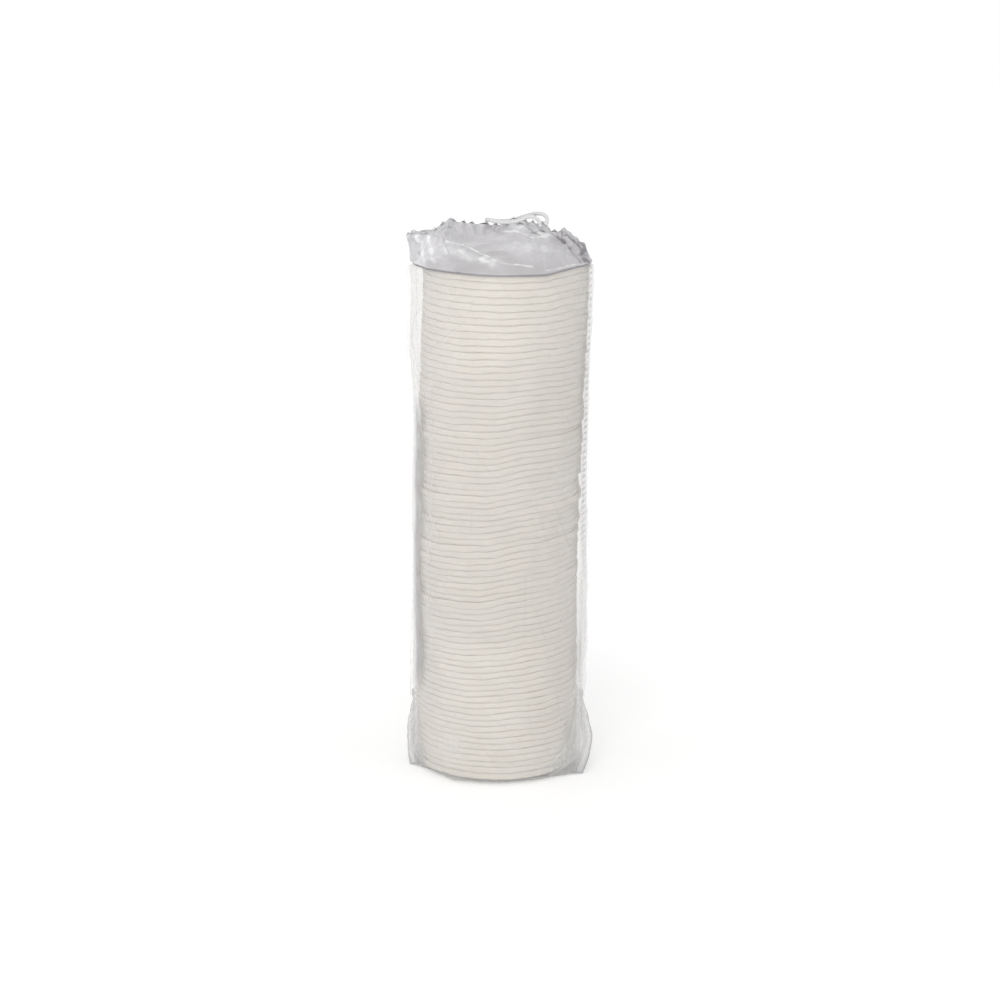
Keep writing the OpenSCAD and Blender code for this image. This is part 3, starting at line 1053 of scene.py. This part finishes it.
@dataclass
class Neck:
    """The crumpled neck: up from the top pad's rim and in to the pinched mouth, over the hem's outside."""

    walls: SleeveWalls
    finish: bpy.types.Material
    cols: int = 460
    rows: int = 96
    slope: float = 30.0
    bulge: float = 0.03
    shoulder_share: float = 0.55
    lip_gap: float = 0.6
    fold_h: float = 2.6
    fold_size: float = 9.0
    crinkle_h: float = 2.1
    crinkle_size: float = 3.4
    # Folds that stand out sidewards, seen on edge at the neck's left and right
    side_fold_h: float = 2.8
    side_fold_size: float = 5.5
    # Gathers at the mouth: their spacing, their height in front and at the back, and where they start
    gather_w: float = 3.4
    gather_front: float = 0.28
    gather_back: float = 1.3
    gather_from: float = 0.66
    gather_fade: float = 0.34
    # Spacing of the bright and of the grey lines between the crumpled facets: painted highlights and painted
    # shade
    white_size: float = 3.6
    grey_size: float = 4.6
    # Strength of the front's folds and glints where they are repeated on the back
    back_share: float = 0.7
    # Half the way round the film, with the creases scattered over all of it
    half_round: float = 92.0
    creases: Creases = Creases(
        seed=21, count=60, across=(-92.0, 92.0), up=(0.0, 30.0), length=(8.0, 30.0),
        slope=(25.0, 85.0), depth=(-0.6, 0.9), width=(1.2, 4.5),
    )
    # X and height of the mouth's crumpled upper edge, the height counted from the hem's top
    crest_line: tuple[tuple[float, float], ...] = (
        (-25.0, -5.0), (-21.5, -2.8), (-17.6, 0.7), (-14.2, -0.1), (-10.1, -0.6), (-1.7, -1.1),
        (1.0, -0.9), (3.4, 0.7), (6.8, 0.9), (10.1, -0.2), (14.5, -0.9), (17.2, -3.5), (19.2, -3.5),
        (22.0, -2.3),
    )
    # Painted shade and dark reflections: dark creases and shaded hollows across the front
    dark: tuple[Stroke, ...] = (
        Stroke((-20.5, 20.0), (-13.7, 0.5), 0.4, 0.45), Stroke((-23.3, 24.0), (-15.4, 23.7), 1.3, 0.35),
        Stroke((-24.7, 28.5), (-18.2, 29.5), 0.9, 0.3), Stroke((-18.2, 29.0), (-15.4, 21.0), 0.6, 0.4),
        Stroke((1.7, 23.0), (-0.7, 28.5), 0.6, 0.35), Stroke((2.7, 28.0), (12.0, 24.5), 0.7, 0.35),
        Stroke((4.0, 20.5), (10.3, 23.0), 0.8, 0.3), Stroke((10.3, 22.0), (17.8, 27.5), 0.8, 0.4),
        Stroke((20.5, 29.5), (29.8, 1.5), 0.7, 0.85), Stroke((19.2, 26.0), (27.4, 3.0), 0.6, 0.55),
        Stroke((22.6, 29.0), (30.7, 4.0), 0.8, 0.6), Stroke((-29.0, 20.0), (-26.0, 3.0), 0.5, 0.4),
        Stroke((5.0, 28.5), (13.5, 21.5), 0.5, 0.6), Stroke((8.0, 29.0), (16.5, 24.0), 0.9, 0.45),
        Stroke((3.4, 29.5), (-5.0, 23.5), 0.45, 0.4), Stroke((17.4, 28.5), (21.5, 19.0), 0.6, 0.5),
        Stroke((-26.5, 27.0), (-21.0, 17.0), 0.5, 0.45), Stroke((-27.0, 14.0), (-22.5, 20.0), 0.4, 0.4),
    )
    # Painted highlights: glints, a pale patch and thin bright lines across the front
    bright: tuple[Stroke, ...] = (
        Stroke((-16.5, 11.0), (-3.0, 7.6), 2.2, 0.5), Stroke((-18.0, 14.5), (-12.0, 15.6), 0.32, 0.7),
        Stroke((-12.0, 15.6), (-3.4, 10.0), 0.3, 0.6), Stroke((0.0, 7.6), (10.3, 4.1), 0.3, 0.55),
        Stroke((15.4, 2.6), (29.6, 2.4), 0.3, 0.5), Stroke((6.8, 27.0), (15.0, 22.0), 2.6, 0.5),
        Stroke((3.0, 15.0), (14.0, 14.0), 3.5, 0.14), Stroke((24.0, 27.0), (30.0, 5.0), 0.35, 0.8),
        Stroke((2.0, 25.5), (9.0, 20.5), 0.32, 0.6), Stroke((10.5, 19.5), (19.5, 23.0), 0.3, 0.6),
        Stroke((-27.8, 18.0), (-22.0, 24.0), 0.45, 0.6), Stroke((-26.0, 8.0), (-23.0, 19.0), 0.4, 0.5),
        Stroke((-24.0, 14.0), (-21.6, 5.0), 0.7, 0.35), Stroke((-28.0, 24.0), (-25.0, 2.0), 0.6, 0.35),
    )

    def marks(self, strokes: Sequence[Stroke], here: np.ndarray, w: np.ndarray) -> np.ndarray:
        """Adds up strokes on the front, and the same turned round and more bent on the back."""
        x, y = here[:, 0], here[:, 1]
        bend = hills(here, 7.0, 90.0)
        broken = 0.45 + 0.75 * ease(0.5 + 1.5 * hills(here, 2.2, 17.0))
        front = broken * ease(-y) * sum(stroke.at(x + 0.6 * bend, w + 0.6 * bend) for stroke in strokes)
        back = ease(y) * sum(stroke.at(-x - 3 + 2.5 * bend, w + 2.5 * bend) for stroke in strokes)
        return front + self.back_share * back

    def crest(self, x: Any) -> Any:
        """Height of the mouth's crumpled upper edge at x."""
        return self.walls.stack.hem_top + np.interp(x, *zip(*self.crest_line))

    def surface(self, across: np.ndarray, up: np.ndarray) -> tuple[np.ndarray, np.ndarray, np.ndarray]:
        """Shapes the crumpled film.

        Args:
            across: share of the way round, from the right.
            up: share of the way from the rim to the mouth.

        Returns:
            The points in millimetres, and the shares of milky film with painted highlights and of painted
            shade.
        """
        stack = self.walls.stack
        angle = 360 * across
        side, front = cos_deg(angle), sin_deg(angle)
        rim, _, _ = self.walls.surface(angle, np.full_like(angle, stack.top))
        lip_x = stack.mouth_x + stack.mouth_w / 2 * side
        lip_y = self.lip_gap * np.clip(4 * front, -1.0, 1.0)
        leftwards = np.maximum(0.0, -side) ** 4
        out = self.walls.tuck * (1 - ease(1 - up / 0.05)) * 1.2
        inward = mix(up, ease((up - self.shoulder_share) / (1 - self.shoulder_share)), leftwards)
        steep = np.minimum(1.0, up / self.shoulder_share)
        climb = mix(up + self.bulge * np.sin(np.pi * up), steep, leftwards)
        x = mix(rim[:, 0] + out * side, lip_x, inward)
        y = mix(rim[:, 1] + out * front, lip_y, inward)
        z = mix(rim[:, 2], self.crest(lip_x), climb)
        here = points_of(x, y, z)
        sides = side ** 2
        free = swell(up, -0.12, 1.12) * ease(up / 0.12)
        crumpled = free * (0.1 + 0.9 * sides ** 2)
        w = up * self.slope
        dark, bright = self.marks(self.dark, here, w), self.marks(self.bright, here, w)
        gathers = np.sin(2 * np.pi * lip_x / self.gather_w + 4 * hills(here, 7.0, 3.0))
        gather_h = mix(self.gather_front, self.gather_back, ease(y / 2.0 + 0.5))
        near_mouth = ease((up - self.gather_from) / self.gather_fade) * gather_h
        ridges, lines = self.creases.heights((angle - 180) / 180 * self.half_round, w)
        patchy = ease(0.5 + 1.6 * hills(here, 6.0, 12.0))
        # Painted highlights and painted shade on the cracks between facets, in patches of each
        white_lines = cracks(here, self.white_size) * crumpled * patchy
        grey_lines = cracks(here, self.grey_size, 30.0) * crumpled * (1 - patchy)
        rise = self.fold_h * crumpled * (1 - 0.4 * leftwards) * facets(here, self.fold_size)
        rise += self.crinkle_h * free * (0.06 + 0.94 * sides ** 2) * facets(here, self.crinkle_size)
        rise += ridges * free * (0.12 + 0.88 * sides) + 0.5 * (bright - dark) * free
        rise += gathers * near_mouth * ease((1.02 - up) / 0.06)
        pushed = self.side_fold_h * crumpled * facets(here, self.side_fold_size, 50.0)
        points = here + points_of(pushed * side, pushed * front, rise)
        # Painted shade: a dark line where the neck starts at the top rim
        seam = bell(up, 0.0, 0.028)
        clear = leftwards * swell(up, -0.3, 0.8)
        # Painted highlights: the glint strokes, bright crease lines and bright cracks; and milky film at the
        # left
        milk_glint = bright + 0.3 * lines * sides + 0.15 * clear + 0.6 * white_lines
        # Painted shade and dark reflections: the rim line, dark strokes, creases and grey cracks
        fold = 0.95 * seam + dark + 0.4 * lines * (0.1 + 0.9 * sides) + 0.6 * grey_lines
        right_shade = bell(angle, 20.0, 14.0) + bell(angle, 332.0, 12.0)
        fold += 0.22 * right_shade * free
        # Painted shade in the gathers' hollows, and painted highlights on their crests in the returned share
        fold += 0.5 * near_mouth * np.maximum(0.0, -gathers)
        return points, milk_glint + 0.4 * near_mouth * np.maximum(0.0, gathers), fold

    def build(self) -> bpy.types.Object:
        """Builds the neck.

        Returns:
            The neck.
        """
        stack = self.walls.stack
        grid = Drape(self.cols, self.rows)
        points, milk_glint, fold = self.surface(grid.across, grid.up)
        piece = new_piece("neck", grid.shape(points, milk_glint, fold, ring=True), self.finish)
        (stack.top + 0.5) * MM
        (stack.top + 8.5) * MM
        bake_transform(piece)
        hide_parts("neck_film")
        return piece


@dataclass
class MouthHem:
    """The hem of the pinched mouth: film folded over the drawstring and ruffled by it."""

    neck: Neck
    finish: bpy.types.Material
    cols: int = 440
    rings: int = 28
    tall: float = 3.2
    drop: float = 0.5
    ruffle_h: float = 0.25
    ruffles: int = 17
    crumple_out: float = 0.5
    crumple_up: float = 0.7

    def build(self) -> bpy.types.Object:
        """Builds the ruffled tube round the mouth.

        Returns:
            The hem.
        """
        stack = self.neck.walls.stack
        grid = Drape(self.cols, self.rings)
        angle, turned = 360 * grid.across, 360 * grid.up
        x = stack.mouth_x + (stack.mouth_w / 2 - 0.8) * np.clip(1.03 * cos_deg(angle), -1.0, 1.0)
        side = np.clip(sin_deg(angle) * 5, -1.0, 1.0)
        uneven = 4 * hills(points_of(x, 0.0, 3.0), 9.0)
        ruffle = self.ruffle_h * np.sin(self.ruffles * np.radians(angle) + uneven)
        z = self.neck.crest(x) - self.drop - self.tall / 2 * (1 - sin_deg(turned))
        wide = stack.hem_w / 2 * (1 - 0.3 * sin_deg(turned))
        y = stack.lip_y * side * (1 - 0.35 * ease(sin_deg(turned))) + ruffle + wide * cos_deg(turned)
        here = points_of(x, y, z)
        outwards = self.crumple_out * facets(here, 3.0) * cos_deg(turned)
        upwards = self.crumple_up * facets(here, 4.0, 30.0)
        points = here + points_of(0.0, outwards, upwards)
        # Painted shade and painted highlights on scattered facets of the crumpled hem
        fold = np.maximum(0.0, facets(here, 3.2, 70.0))
        milk_glint = np.maximum(0.0, facets(here, 4.4, 20.0))
        piece = new_piece("hem", grid.shape(points, milk_glint, fold, ring=True), self.finish)
        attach(piece, "mouth")
        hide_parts("mouth_hem")
        return piece


def smooth_route(points: Sequence[Vector], step: float) -> list[Vector]:
    """Rounds a route of given points.

    Args:
        points: the route.
        step: distance from one new point to the next.

    Returns:
        Points that follow one smooth curve through the route.
    """
    made: list[Vector] = []
    for i in range(len(points) - 1):
        before = points[i - 1] if i else points[0] * 2 - points[1]
        after = points[i + 2] if i + 2 < len(points) else points[-1] * 2 - points[-2]
        a, b = points[i], points[i + 1]
        parts = max(1, round((b - a).length / step))
        for j in range(parts):
            t = j / parts
            made.append(0.5 * (
                2 * a + (b - before) * t + (2 * before - 5 * a + 4 * b - after) * t ** 2
                + (3 * a - before - 3 * b + after) * t ** 3
            ))
    made.append(points[-1].copy())
    return made


@dataclass
class Drawstring:
    """The twisted drawstring: one run inside the hem's channel, and the pull loop that lies on the hem."""

    neck: Neck
    finish: bpy.types.Material
    diameter: float = 1.4
    strands: int = 3
    sides: int = 24
    turn_mm: float = 4.2
    gap: float = 0.2
    eyelet_x: float = 16.0
    loop_step: float = 0.3
    run_step: float = 0.5

    def tube(self, name: str, line: Sequence[Vector]) -> bpy.types.Object:
        """Extrudes a twisted strand section along a line.

        Args:
            name: the piece's name.
            line: the centres of its rings, in millimetres.

        Returns:
            The twisted string.
        """
        bm = bmesh.new()
        ring = bmesh.ops.create_circle(bm, cap_ends=True, segments=self.sides, radius=1.0)["verts"]
        edges = list(bm.edges)
        corners = [math.atan2(v.co.y, v.co.x) for v in ring]
        side = Vector((0.0, 1.0, 0.0))
        done = 0.0
        for i, centre in enumerate(line):
            way = (line[min(i + 1, len(line) - 1)] - line[max(i - 1, 0)]).normalized()
            side = (side - way * side.dot(way)).normalized()
            over = way.cross(side)
            if i:
                done += (centre - line[i - 1]).length
                grown = bmesh.ops.extrude_edge_only(bm, edges=edges)["geom"]
                ring = [g for g in grown if isinstance(g, bmesh.types.BMVert)]
                edges = [g for g in grown if isinstance(g, bmesh.types.BMEdge)]
            for vert, angle in zip(ring, corners):
                twist = 2 * math.pi * done / self.turn_mm
                lobe = 0.82 + 0.18 * abs(math.cos(self.strands * (angle - twist) / 2))
                reach = self.diameter / 2 * lobe
                vert.co = centre + (side * math.cos(angle) + over * math.sin(angle)) * reach
        bmesh.ops.holes_fill(bm, edges=edges, sides=self.sides)
        bmesh.ops.recalc_face_normals(bm, faces=bm.faces)
        bmesh.ops.scale(bm, vec=(MM, MM, MM), verts=bm.verts)
        return new_piece(name, mesh_from(bm), self.finish)

    def loop_route(self) -> list[Vector]:
        """The loop's route: out of the eyelet, to the left along the hem, round and back.

        It follows the route of the loop's solid, with wider turns and a shorter reach.
        """
        strand = self.diameter / 2 + self.gap
        lie = self.diameter / 2 + 0.2
        steps = [
            (-strand, 0, 0), (-1.3, 0, 1.2), (-2.3, -0.1, 2.2), (-3.8, -0.3, 2.9), (-5.6, -0.5, 2.7),
            (-7.4, -0.7, lie + 1), (-9.4, -0.8, lie + 0.4), (-12, -1, lie + 0.2), (-14.6, -1, lie + 0.3),
            (-16.9, -0.5, lie + 0.6), (-18.5, 0.9, lie + 0.8), (-19, 2.8, lie + 0.7), (-18.1, 4.6, lie + 0.4),
            (-16, 5.4, lie), (-13.2, 5, lie), (-10.6, 4.5, lie + 0.3), (-8.2, 4.3, lie + 1),
            (-5.7, 4.3, lie + 1.8), (-3, 4, lie + 2.5), (-0.4, 2.9, lie + 2.6),
            (1.1, 1.3, lie + 1.7), (1.3, 0.3, lie + 0.4), (strand, 0, 0),
        ]
        stack = self.neck.walls.stack
        at = stack.mouth_x + self.eyelet_x
        start = Vector((at, -stack.lip_y, float(self.neck.crest(at)) - 0.2))
        return [start + Vector(step) for step in steps]

    def run_route(self) -> list[Vector]:
        """The route inside the channel: down from the eyelet, round the mouth and up to the eyelet again."""
        stack = self.neck.walls.stack
        bend = stack.lip_y
        run = stack.mouth_w / 2 - bend - stack.hem_w / 2
        rise = stack.hem_h / 2 - stack.film_t
        strand = self.diameter / 2 + self.gap
        right, left = self.eyelet_x + strand, self.eyelet_x - strand
        turns = (80, 60, 40, 20, 0)
        points = [(right, -bend, rise + 0.3)]
        points += [(right + rise * (1 - sin_deg(a)), -bend, rise * (1 - cos_deg(a))) for a in turns]
        points += [(run + bend * cos_deg(a), bend * sin_deg(a), 0.0) for a in range(-90, 91, 15)]
        points += [(x, bend, 0.0) for x in (run * 0.6, run * 0.2, -run * 0.2, -run * 0.6)]
        points += [(-run + bend * cos_deg(a), bend * sin_deg(a), 0.0) for a in range(90, 271, 15)]
        points += [(x, -bend, 0.0) for x in (-run * 0.6, -run * 0.2, run * 0.2)]
        points += [(left - rise * (1 - sin_deg(a)), -bend, rise * (1 - cos_deg(a))) for a in reversed(turns)]
        points += [(left, -bend, rise + 0.3)]
        placed = []
        for x, y, z in points:
            at = stack.mouth_x + x
            placed.append(Vector((at, y, float(self.neck.crest(at)) - stack.hem_h / 2 + z)))
        return placed

    def build(self) -> list[bpy.types.Object]:
        """Builds the loop and the run.

        Returns:
            The loop and the run.
        """
        line = smooth_route(self.loop_route(), self.loop_step)
        loop = self.tube("pull_loop_string", line)
        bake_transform(loop)
        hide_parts("drawstring_loop")
        inside = self.tube("channel_string", smooth_route(self.run_route(), self.run_step))
        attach(inside, "mouth")
        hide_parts("drawstring_run")
        return [loop, inside]


@dataclass
class PadStack:
    """The cotton pads: round, soft-edged, each a little out of line, sagging together under the film."""

    stack: Stack
    finish: bpy.types.Material
    segments: int = 160
    spare: float = 0.32
    edge_depth: float = 0.65
    edge_turns: int = 8
    # How ragged the rim is, in wide and in narrow waves
    ragged_h: float = 0.22
    fray_h: float = 0.12
    stray: float = 0.35
    sag_h: float = 1.7
    lump_h: float = 0.38
    small_lump_h: float = 0.22
    # Share of the solids' curl at the foot
    curl_share: float = 0.55
    # Height that keeps the two pads of the template apart
    apart: float = 10.0

    def sag(self, x: np.ndarray, level: float) -> np.ndarray:
        """Height that a soft pad gives way by at x, low left of the middle and high right of it."""
        up = level / self.stack.top
        amount = self.sag_h * swell(up, 0.0, 1.0) ** 0.5
        kink = mix(-3.0, 7.0, up)
        return amount * (ease((x - kink + 8) / 16) - 0.5 - 0.5 * x / self.stack.pad_r)

    def outline(self) -> list[Vector]:
        """Cross-section of a pad, from its middle's underside round its edge to its top.

        Returns:
            Points with the radius as X and the share of the pad's height as Z.
        """
        stack = self.stack
        edge = stack.pad_r - self.edge_depth
        radii = [0.0, 7.0, 14.0, stack.flat_r, stack.flat_r + 3.5, edge - 1.5]
        under = [Vector((r, 0.0, 0.0)) for r in radii]
        over = [Vector((r, 0.0, 1.0)) for r in reversed(radii)]
        rim = []
        for i in range(self.edge_turns + 1):
            a = -90 + 180 * i / self.edge_turns
            bulge = self.edge_depth * max(0.0, cos_deg(a))
            rim.append(Vector((edge + bulge, 0.0, 0.5 + 0.5 * sin_deg(a))))
        return under + rim + over

    def template(self) -> bpy.types.Mesh:
        """Spins the outline into a pad and doubles it.

        Returns:
            Two like pads, the second one lifted clear of the first.
        """
        bm = spin_profile(self.outline(), self.segments)
        copied = bmesh.ops.duplicate(bm, geom=list(bm.verts) + list(bm.edges) + list(bm.faces))["geom"]
        second = [g for g in copied if isinstance(g, bmesh.types.BMVert)]
        bmesh.ops.translate(bm, vec=(0, 0, self.apart), verts=second)
        return mesh_from(bm)

    def place_pad(self, flat: np.ndarray, k: int) -> np.ndarray:
        """Lays a pad in its place.

        Args:
            flat: the pad's points, with the share of its height as Z.
            k: the pad's number from the foot, from 0.

        Returns:
            Its points in the stack, in millimetres.
        """
        stack = self.stack
        level = stack.pad_z(k)
        deep = stack.pad_z(k + 1) - level - stack.pad_gap
        radius = np.hypot(flat[:, 0], flat[:, 1])
        low = self.curl_share * stack.curl(k, radius) - self.spare / 2
        high = self.curl_share * stack.curl(k + 1, radius) + deep + self.spare / 2
        rim = ease((radius - stack.flat_r) / stack.curl_w)
        seeds = points_of(flat[:, 0], flat[:, 1], k * 13.0 + flat[:, 2])
        ragged = self.ragged_h * hills(seeds, 7.0) + self.fray_h * hills(seeds, 1.6)
        # Where two rims aren't pressed round, they are filled out, and the groove between them closes
        flank = 0.35 * ease((np.abs(flat[:, 0] + 2.0) - 9.0) / 14.0) * ease(level / 30.0)
        pressed = ease(0.62 - flank + 1.3 * hills(points_of(flat[:, 0], flat[:, 1], k * 5.0), 7.0, 31.0))
        in_rim = np.clip((radius - stack.pad_r + self.edge_depth) / self.edge_depth, 0.0, 1.0)
        filled = np.where(in_rim > 0, (1 - in_rim) * (1 - pressed) * self.edge_depth, 0.0)
        grown = 1 + (rim * (ragged - 0.2) + filled) / np.maximum(radius, 1.0)
        away = [noise.noise(Vector((k * 1.7, 0.3, 4.1))), noise.noise(Vector((0.2, k * 1.9, 8.7)))]
        halfway = swell(level / stack.top, 0.3, 0.85)
        x = flat[:, 0] * grown + away[0] * self.stray * (1 + 3 * halfway) + 0.4 * halfway
        y = flat[:, 1] * grown + away[1] * self.stray
        soft = min(1.0, 0.3 + k / 10)
        spots = points_of(x, y, 0.0)
        small_lumps = self.small_lump_h * hills(spots, 4.5, k * 0.16)
        lumpy = soft * (self.lump_h * hills(spots, 11.0, k * 0.07) + small_lumps)
        z = mix(low, high, flat[:, 2]) + lumpy * rim + self.sag(x, level)
        turn = stack.tilt(k)
        across = stack.x_at(level) + x * cos_deg(turn) - z * sin_deg(turn)
        height = level + x * sin_deg(turn) + z * cos_deg(turn)
        return points_of(across, y, height + stack.droop(across, y, height))

    def build(self) -> list[bpy.types.Object]:
        """Builds the pads, two to a piece.

        Returns:
            The pairs of pads from the foot up.
        """
        template = self.template()
        flat = read_points(template)
        upper = flat[:, 2] > self.apart / 2
        flat[upper, 2] -= self.apart
        made = []
        for pair in range(self.stack.pairs):
            points = flat.copy()
            points[~upper] = self.place_pad(flat[~upper], 2 * pair)
            points[upper] = self.place_pad(flat[upper], 2 * pair + 1)
            mesh = template.copy()
            write_points(mesh, points)
            piece = new_piece(f"pads_{pair + 1:02d}", mesh, self.finish)
            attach(piece, "sleeve")
            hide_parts(f"pad_pair_{pair + 1:02d}")
            made.append(piece)
        return made


@dataclass(frozen=True)
class Lamp:
    """A soft box of the studio, in metres and watts."""

    name: str
    place: tuple[float, float, float]
    size: tuple[float, float]
    power: float
    aim: tuple[float, float, float] = (0.0, 0.0, 0.1)


@dataclass
class Studio:
    """Pale floor, white surroundings, soft boxes and the camera of the photograph."""

    floor_size: float = 8.0
    floor_tone: str = "#f4f4f4"
    surround: float = 0.66
    # Light that the floor adds near the part and far from it, and the distances between which it grows
    floor_near: float = 0.26
    floor_far: float = 0.46
    near_reach: float = 0.05
    far_reach: float = 0.3
    camera_place: tuple[float, float, float] = (0.0, -0.735, 0.267)
    camera_pitch: float = 12.95
    lens: float = 78.08
    sensor_w: float = 36.0
    lens_shift: float = -0.01
    lamps: tuple[Lamp, ...] = (
        Lamp("key box", (-0.2, -1.05, 0.62), (0.8, 0.6), 4.1),
        Lamp("low box", (-0.2, -0.95, 0.12), (0.5, 0.2), 1.2, (0.0, 0.0, 0.0)),
        Lamp("left strip", (-0.8, 0.05, 0.2), (0.08, 0.9), 0.36),
        Lamp("right strip", (0.8, 0.1, 0.2), (0.08, 0.9), 0.3),
        Lamp("top box", (-0.1, 0.6, 0.95), (0.5, 0.3), 0.6, (0.0, 0.0, 0.18)),
    )

    def make_camera(self) -> None:
        """Sets up the camera at the photograph's viewing angle."""
        data = bpy.data.cameras.new("camera")
        data.sensor_width = self.sensor_w
        data.lens = self.lens
        data.shift_y = self.lens_shift
        data.clip_start, data.clip_end = 0.01, 50.0
        camera = bpy.data.objects.new("camera", data)
        camera.location = self.camera_place
        camera.rotation_euler = (math.radians(90 - self.camera_pitch), 0.0, 0.0)
        bpy.context.scene.collection.objects.link(camera)
        bpy.context.scene.camera = camera

    def make_lamps(self) -> None:
        """Sets up the soft boxes."""
        for lamp in self.lamps:
            data = bpy.data.lights.new(lamp.name, "AREA")
            data.shape = "RECTANGLE"
            data.size, data.size_y = lamp.size
            data.energy = lamp.power
            made = bpy.data.objects.new(lamp.name, data)
            made.location = lamp.place
            made.rotation_euler = (Vector(lamp.aim) - Vector(lamp.place)).to_track_quat("-Z", "Y").to_euler()
            made.visible_camera = False
            bpy.context.scene.collection.objects.link(made)

    def seen_directly(self, tree: bpy.types.NodeTree) -> bpy.types.NodeSocket:
        """An output that is 1 for rays from the camera, a mirror or a clear surface, and else 0."""
        path = add_node(tree, "ShaderNodeLightPath").outputs
        glossy = add_node(tree, "ShaderNodeMath", {"operation": "MAXIMUM"}, {
            0: path["Is Camera Ray"], 1: path["Is Glossy Ray"],
        })
        return add_node(tree, "ShaderNodeMath", {"operation": "MAXIMUM"}, {
            0: glossy.outputs["Value"], 1: path["Is Transmission Ray"],
        }).outputs["Value"]

    def make_world(self) -> None:
        """Makes the surroundings: pure white where they are seen, and dimmer as a light."""
        world = bpy.data.worlds.new("white studio")
        world.use_nodes = True
        tree = world.node_tree
        tree.nodes.clear()
        power = add_node(tree, "ShaderNodeMapRange", inputs={
            "Value": self.seen_directly(tree), "To Min": self.surround, "To Max": 1.0,
        })
        back = add_node(tree, "ShaderNodeBackground", inputs={
            "Color": (1.0, 1.0, 1.0, 1.0), "Strength": power.outputs["Result"],
        })
        output = tree.nodes.new("ShaderNodeOutputWorld")
        tree.links.new(back.outputs["Background"], output.inputs["Surface"])
        bpy.context.scene.world = world

    def make_floor(self) -> None:
        """Makes the pale floor, which runs into the white surroundings and keeps the shadow."""
        made, tree, output = new_material("studio paper, matt white")
        paper = add_node(tree, "ShaderNodeBsdfDiffuse", inputs={"Color": colour(self.floor_tone)})
        place = add_node(tree, "ShaderNodeTexCoord").outputs["Object"]
        away = add_node(tree, "ShaderNodeVectorMath", {"operation": "LENGTH"}, {0: place}).outputs["Value"]
        added = add_node(tree, "ShaderNodeMapRange", {"interpolation_type": "SMOOTHSTEP"}, {
            "Value": away, "From Min": self.near_reach, "From Max": self.far_reach,
            "To Min": self.floor_near, "To Max": self.floor_far,
        }).outputs["Result"]
        power = add_node(tree, "ShaderNodeMath", {"operation": "MULTIPLY"}, {
            0: self.seen_directly(tree), 1: added,
        })
        glow = add_node(tree, "ShaderNodeEmission", inputs={"Strength": power.outputs["Value"]})
        both = add_node(tree, "ShaderNodeAddShader", inputs={
            0: paper.outputs["BSDF"], 1: glow.outputs["Emission"],
        })
        tree.links.new(both.outputs["Shader"], output.inputs["Surface"])
        bm = bmesh.new()
        bmesh.ops.create_grid(bm, x_segments=1, y_segments=1, size=self.floor_size / 2)
        new_piece("floor", mesh_from(bm), made, smooth=False)

    def build(self) -> None:
        """Sets up the whole studio."""
        bpy.context.scene.view_settings.view_transform = "Standard"
        self.make_camera()
        self.make_lamps()
        self.make_world()
        self.make_floor()


def main() -> None:
    """Builds the studio and the cotton pad holder, and reports each piece."""
    logging.basicConfig(level=logging.INFO, format="%(message)s")
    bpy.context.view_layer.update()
    Studio().build()
    sleeve_film = SLEEVE_FILM.make()
    seam_film = SEAM_FILM.make()
    neck_film = NECK_FILM.make()
    walls = SleeveWalls(STACK, sleeve_film)
    neck = Neck(walls, neck_film)
    pieces = Drawstring(neck, StringFinish().make()).build()
    pieces += walls.build()
    pieces += [SideSeam(walls, side, seam_film).build() for side in Side]
    pieces.append(SleeveBase(walls, sleeve_film).build())
    pieces += [FootEar(walls, side, seam_film).build() for side in Side]
    pieces.append(neck.build())
    pieces.append(MouthHem(neck, neck_film).build())
    pieces += PadStack(STACK, CottonFinish().make()).build()
    for piece in pieces:
        LOG.info("%s: %d faces", piece.name, len(piece.data.polygons))


if __name__ == "__main__":
    main()
